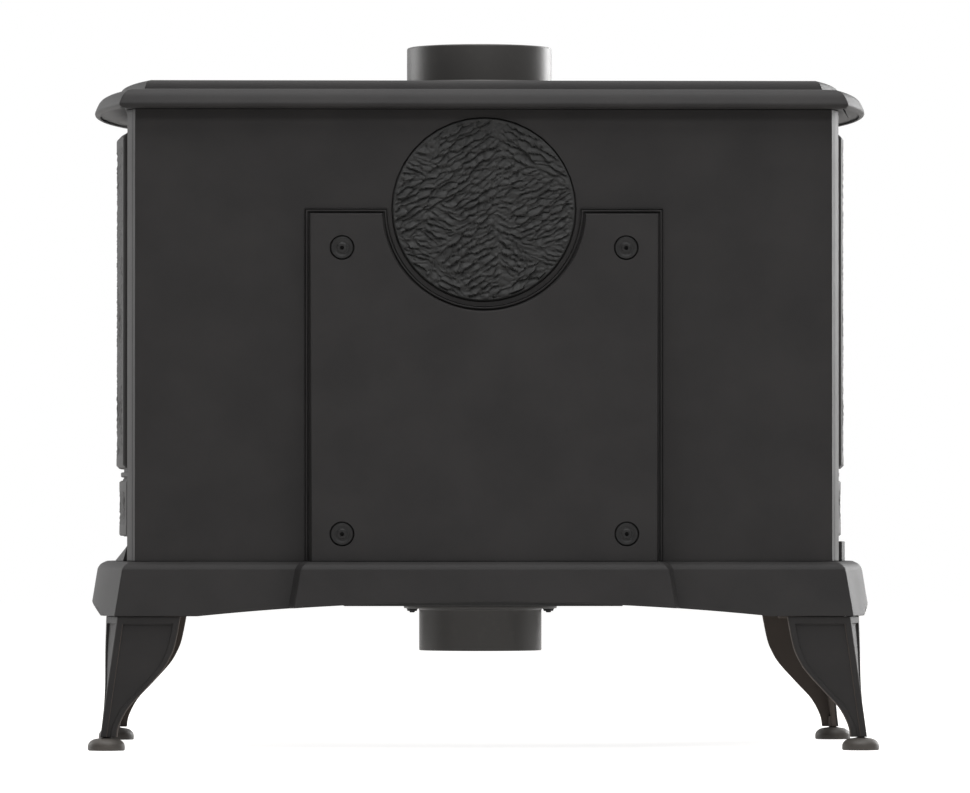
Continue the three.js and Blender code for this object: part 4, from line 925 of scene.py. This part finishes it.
def makeLeg():
    run = [(leg["foot"] + (leg["top"] - leg["foot"]) * share, width)
           for share, width in smoothRun(leg["curve"], leg["steps"])]
    casting = loft("leg", [legRing(z, width) for z, width in run])
    border, panelTop, past = leg["border"], leg["top"] - leg["drop"], leg["past"]
    shallow, deep = leg["recess"]
    endRings, sideRings = [], []
    below, above = (run[0][0] - 1, run[0][1]), (panelTop, run[-1][1])
    widths = [below, *[pair for pair in run if pair[0] < panelTop - 1], above]
    for z, width in widths:
        x, y = legCorner(z)
        recess = shallow + (deep - shallow) * max(0, 1 - 2 * legLean(z)) ** 2
        inner = min(x - border - 1, x - width + border)
        endRings.append([(inner, y - recess, z), (x - border, y - recess, z), (x - border, y + past, z),
                         (inner, y + past, z)])
        far = max(border + 1, width * leg["sideShare"] - border)
        sideRings.append([(*legSide(z, along, inward), z) for along, inward in (
            (far, recess), (far, -past), (border, -past), (border, recess))])
    x, y = legCorner(leg["top"])
    x, y = x - leg["skin"] / 2, y - leg["skin"] / 2
    width, depth, height = leg["head"]
    corners = [(x - width, y - depth), (x, y - depth), (x, y), (x - width, y)]
    head = prism("head", corners, leg["top"] - height, leg["top"])
    at = (*footCentre(), 0)
    boss = plug("boss", leg["boss"], leg["foot"], leg["stemTop"], 32, at)
    bore = plug("bore", leg["stem"], leg["boreFoot"], leg["boreTop"], 32, at)
    join(casting, head, boss)
    cut(casting, loft("endPanel", endRings), loft("sidePanel", sideRings), bore)
    return casting


def footCentre():
    x, y = legCorner(leg["foot"])
    return x - foot["inset"][0], y - foot["inset"][1]


def makeFoot():
    radius, height, stem, top = foot["radius"], foot["height"], foot["stem"], foot["top"]
    dome = smoothRun([(radius, 1), (radius, 4.4), (radius - 0.8, 7.2), (radius - 3, 9.6), (radius - 6.4, 11.4),
                      (stem + 2, height - 0.5), (stem + 0.4, height)], 4)
    stud = [(stem, height + 0.4), (stem, top - 0.6), (stem - 0.6, top), (0, top)]
    return turned("foot", [(0, 0), (radius - 1, 0), *dome, *stud], foot["sides"], (*footCentre(), 0))


def makeLegsAndFeet():
    for making, kind, edge, look in ((makeLeg, "leg", 0.7, "leg_paint"), (makeFoot, "foot", 0, None)):
        first = making()
        for side, toSide in (("right", 1), ("left", -1)):
            for end, toRear in (("rear", 1), ("front", -1)):
                twin = mirrored(first, f"{kind}_{end}_{side}_fine", toSide, toRear)
                seatPiece(twin, f"{kind}_{end}_{side}", edge=edge, angle=30, rounds=3, look=look)
        bpy.data.objects.remove(first)


makeLegsAndFeet()
print("legs and feet")

sideWall = {
    "span": (-189.7, 191.7), "rise": (188.8, 641.2), "skin": 6, "root": 353, "zone": (213.5, 622.5),
    "swell": 147.8, "swellInset": 20, "panelHalf": 150, "backSteps": 30, "grooveWidth": 4, "grooveDepth": 3.2,
    "groovePast": 9, "islandPast": 12, "islandRoot": 340, "relief": 0.5, "sunk": 0.3, "fade": 1.5, "step": 2.3,
    "border": 9, "ledge": {"half": 140, "width": 14, "lap": 2, "rise": (262.2, 272.2)},
    "sill": {"half": 156, "top": 208.5, "proud": 5.7, "slope": 14, "root": 356}, "edge": 0.7,
}
raisedPanels = {
    "tall": {"rise": (282.5, 619), "proud": 4.6, "bevel": 3},
    "short": {"rise": (214.1, 270), "proud": 1.6, "bevel": 1.4},
}


# Plan of a strip along the right-hand side between an outer and an inner face
def strip(half, outer, inner, steps=40):
    run = [-half + 2 * half * i / steps for i in range(steps + 1)]
    return [(outer(y), y) for y in run] + [(inner(y), y) for y in reversed(run)]


# A raised panel with a wrinkled face and bevelled edges
def makeWrinkledPanel(panel):
    low, high = panel["rise"]
    half, bevel, proud = sideWall["panelHalf"], panel["bevel"], panel["proud"]
    steps = int(2 * (half - bevel) / sideWall["step"])
    run = [(half - bevel) * (2 * i / steps - 1) for i in range(steps + 1)]
    root, backSteps = sideWall["root"], sideWall["backSteps"]
    back = [(root, half - 2 * half * i / backSteps) for i in range(backSteps + 1)]
    rows = int((high - low - 2 * bevel) / sideWall["step"])

    def sunk(y, z):
        inward = min(half - abs(y), z - low, high - z) - bevel - sideWall["border"]
        share = max(0, min(1, inward / sideWall["fade"]))
        return share * (sideWall["relief"] * (wrinkle(y, z) - 1) - sideWall["sunk"])

    def ring(z, out, wrinkled):
        face = [(bowX(y) + out + (sunk(y, z) if wrinkled else 0), y) for y in run]
        edge = bowX(half) + proud - bevel
        return [(x, y, z) for x, y in [(edge, -half), *face, (edge, half), *back]]

    rise = high - low - 2 * bevel
    rings = [ring(low + bevel + rise * i / rows, proud, True) for i in range(rows + 1)]
    return loft("panel", [ring(low, proud - bevel, False), *rings, ring(high, proud - bevel, False)])


def panelGroove(panel):
    low, high = panel["rise"]
    half, width = sideWall["panelHalf"], sideWall["grooveWidth"]

    def floorAt(y):
        return max(facetX(y), bowX(y)) - sideWall["grooveDepth"]

    past = sideWall["groovePast"]
    outer = prism("groove", strip(half + width, lambda y: bowX(y) + past, floorAt), low - width, high + width)
    island = strip(half, lambda y: bowX(y) + sideWall["islandPast"], lambda y: sideWall["islandRoot"])
    return cut(outer, prism("island", island, low, high))


# A side wall; only one of the two has a sill that slopes outward
def makeSideWall(name, sloping):
    size = sideWall
    near, far = size["span"]
    corner = body["halfDepth"] - body["cornerDepth"]
    spots = [near, -corner, corner, far]
    neck = [(facetX(y), y) for y in spots] + [(facetX(y) - size["skin"], y) for y in reversed(spots)]
    wall = prism(name, neck, *size["rise"])
    low, high = size["zone"]
    bulge = prism("bulge", strip(size["swell"], bowX, lambda y: size["root"]), low, high)
    sill = size["sill"]

    def sillTop(y):
        return max(sill["root"], bowX(y) - sill["slope"]) if sloping else bowX(y) + sill["proud"]

    foot = [[(x, y, z) for x, y in strip(sill["half"], outer, lambda y: size["root"])]
            for z, outer in ((size["rise"][0], lambda y: bowX(y) + sill["proud"]), (sill["top"], sillTop))]
    join(wall, bulge, loft("sill", foot))
    skin, ledge = size["skin"], size["ledge"]
    inside = strip(size["swell"] - size["swellInset"], lambda y: bowX(y) - skin, lambda y: size["root"] - skin)
    hollow = prism("hollow", inside, low + skin, high - skin)
    cut(wall, hollow, *[panelGroove(panel) for panel in raisedPanels.values()])
    shelf = strip(ledge["half"], lambda y: bowX(y) - ledge["lap"], lambda y: facetX(0) - skin - ledge["width"])
    join(wall, prism("ledge", shelf, *ledge["rise"]))
    addBevel(wall, size["edge"])
    bake(wall)
    return join(wall, *[makeWrinkledPanel(panel) for panel in raisedPanels.values()])


def makeSideWalls():
    right = makeSideWall("side_wall_right_fine", True)
    square = makeSideWall("side_wall_square", False)
    left = mirrored(square, "side_wall_left_fine", -1, 1)
    bpy.data.objects.remove(square)
    for wall, node in ((right, "side_wall_right"), (left, "side_wall_left")):
        seatPiece(wall, node, edge=0, angle=50)


makeSideWalls()
print("side walls")

collar = {
    "radius": 74.3, "wall": 5, "bottom": 671, "top": 714.5, "rim": 1.6, "flangeRadius": 96, "flange": 6,
    "fillet": 1, "filletSteps": 8, "edge": 0.6, "sides": 144,
}
collarScrew = {
    "flush": 0.2, "depth": 3.2, "head": 5.8, "shank": 3, "sinkHead": 6.2, "sinkShank": 3.3, "socket": 1.9,
    "below": 2, "above": 4,
}


# A screw whose cone head lies flush in the collar's flange; gives back the sink for it
def makeCollarScrew(node):
    low, high = nodeBox(node)
    at = ((low.x + high.x) / 2, (low.y + high.y) / 2, 0)
    size = collarScrew
    wide, shank, depth, socket = size["head"], size["shank"], size["depth"], size["socket"]
    flush, foot = collar["bottom"] + collar["flange"] - size["flush"], collar["bottom"] - size["below"]
    screw = turned(node + "_fine", [(0, low.z), (shank - 0.6, low.z), (shank, low.z + 0.8),
                                    (shank, flush - depth), (wide, flush - 0.3), (wide - 0.3, flush),
                                    (0, flush)], 48, at)
    cut(screw, turned("socket", [(0, flush - 2.6), (socket, flush - 2.4), (socket, flush + 2),
                                 (0, flush + 2)], 6, at))
    seatPiece(screw, node, edge=0)
    wide, narrow, above = size["sinkHead"], size["sinkShank"], flush + size["above"]
    return turned("sink", [(0, foot), (narrow, foot), (narrow, flush - depth - 0.3), (wide, flush - 0.2),
                           (wide, above), (0, above)], 48, at)


def makeCollar():
    radius, low, top, lap = collar["radius"], collar["bottom"], collar["top"], collar["flangeRadius"]
    inner, flange, fillet = radius - collar["wall"], low + collar["flange"], collar["fillet"]
    edge, rim, steps = collar["edge"], collar["rim"], collar["filletSteps"]
    bend = [(radius + fillet - fillet * math.cos(t), flange + fillet - fillet * math.sin(t))
            for t in (math.pi / 2 * (1 - i / steps) for i in range(steps + 1))]
    profile = [(inner, low + edge), (inner + edge, low), (lap - edge, low), (lap, low + edge),
               (lap - 0.5, flange - 1.4), (lap - 1.9, flange), *bend, (radius, top - rim),
               (radius - 0.5, top - 0.5), (radius - rim, top), (inner + rim, top), (inner + 0.5, top - 0.5),
               (inner, top - rim)]
    tube = turned("flueCollar", profile, collar["sides"])
    nodes = sorted(node for node in frame["nodes"] if node.startswith("collar_screw"))
    cut(tube, *[makeCollarScrew(node) for node in nodes])
    seatPiece(tube, "flue_collar", edge=0, angle=40)


makeCollar()
print("flue collar")

inlet = {
    "centre": 44, "radius": 62.4, "wall": 3, "low": 97.5, "top": 143.3, "flangeRadius": 78, "flange": 3,
    "edge": 0.7, "lip": 0.5, "sides": 144, "hole": 3.3, "past": 5,
}
inletBolt = {
    "washer": (5.9, 0.8), "nut": (5.2, 1.8), "stub": 2.7, "shank": 2.9, "seat": 0.3, "edge": 0.3, "sides": 48,
    "nutEdge": (0.8, 0.6), "lap": 0.2,
}


# Washer, nut and thread's end below the flange; gives back the hole for its shank
def makeInletBolt(node, under):
    start, end = nodeBox(node)
    at = ((start.x + end.x) / 2, (start.y + end.y) / 2, 0)
    size = inletBolt
    (wide, thick), (nut, tall), (nutInset, nutRise) = size["washer"], size["nut"], size["nutEdge"]
    stub, shank, edge, seat = size["stub"], size["shank"], size["edge"], under - size["seat"]
    face = seat - thick
    bolt = turned(node + "_fine", [
        (0, start.z), (stub - 0.5, start.z), (stub, start.z + 0.5), (stub, face), (wide - edge, face),
        (wide, face + edge), (wide, seat - edge), (wide - edge, seat), (shank, seat), (shank, end.z - 0.6),
        (2.3, end.z), (0, end.z)], size["sides"], at)
    join(bolt, turned("nut", [(0, face - tall), (nut - nutInset, face - tall), (nut, face - tall + nutRise),
                              (nut, face + size["lap"]), (0, face + size["lap"])], 6, at))
    seatPiece(bolt, node, edge=0.2)
    return plug("hole", inlet["hole"], under - inlet["past"], inlet["top"] + inlet["past"], 32, at)


def makeInlet():
    radius, low, top, lap = inlet["radius"], inlet["low"], inlet["top"], inlet["flangeRadius"]
    edge, lip, inner, under = inlet["edge"], inlet["lip"], radius - inlet["wall"], top - inlet["flange"]
    profile = [(inner, low + edge), (inner + edge, low), (radius - edge, low), (radius, low + edge),
               (radius, under - 2), (radius + 0.6, under - 0.6), (radius + 2, under), (lap - lip, under),
               (lap, under + lip), (lap, top - lip), (lap - lip, top), (inner + lip, top), (inner, top - lip)]
    spigot = turned("inletSpigot", profile, inlet["sides"], (0, inlet["centre"], 0))
    bolts = sorted(node for node in frame["nodes"] if node.startswith("inlet_bolt"))
    cut(spigot, *[makeInletBolt(node, under) for node in bolts])
    seatPiece(spigot, "inlet_spigot", edge=0, angle=40)


makeInlet()
print("air inlet")

for leftNode in sorted(frame["nodes"]):
    if not frame["nodes"][leftNode].hide_render:
        refine(leftNode)
print("plain pieces refined")
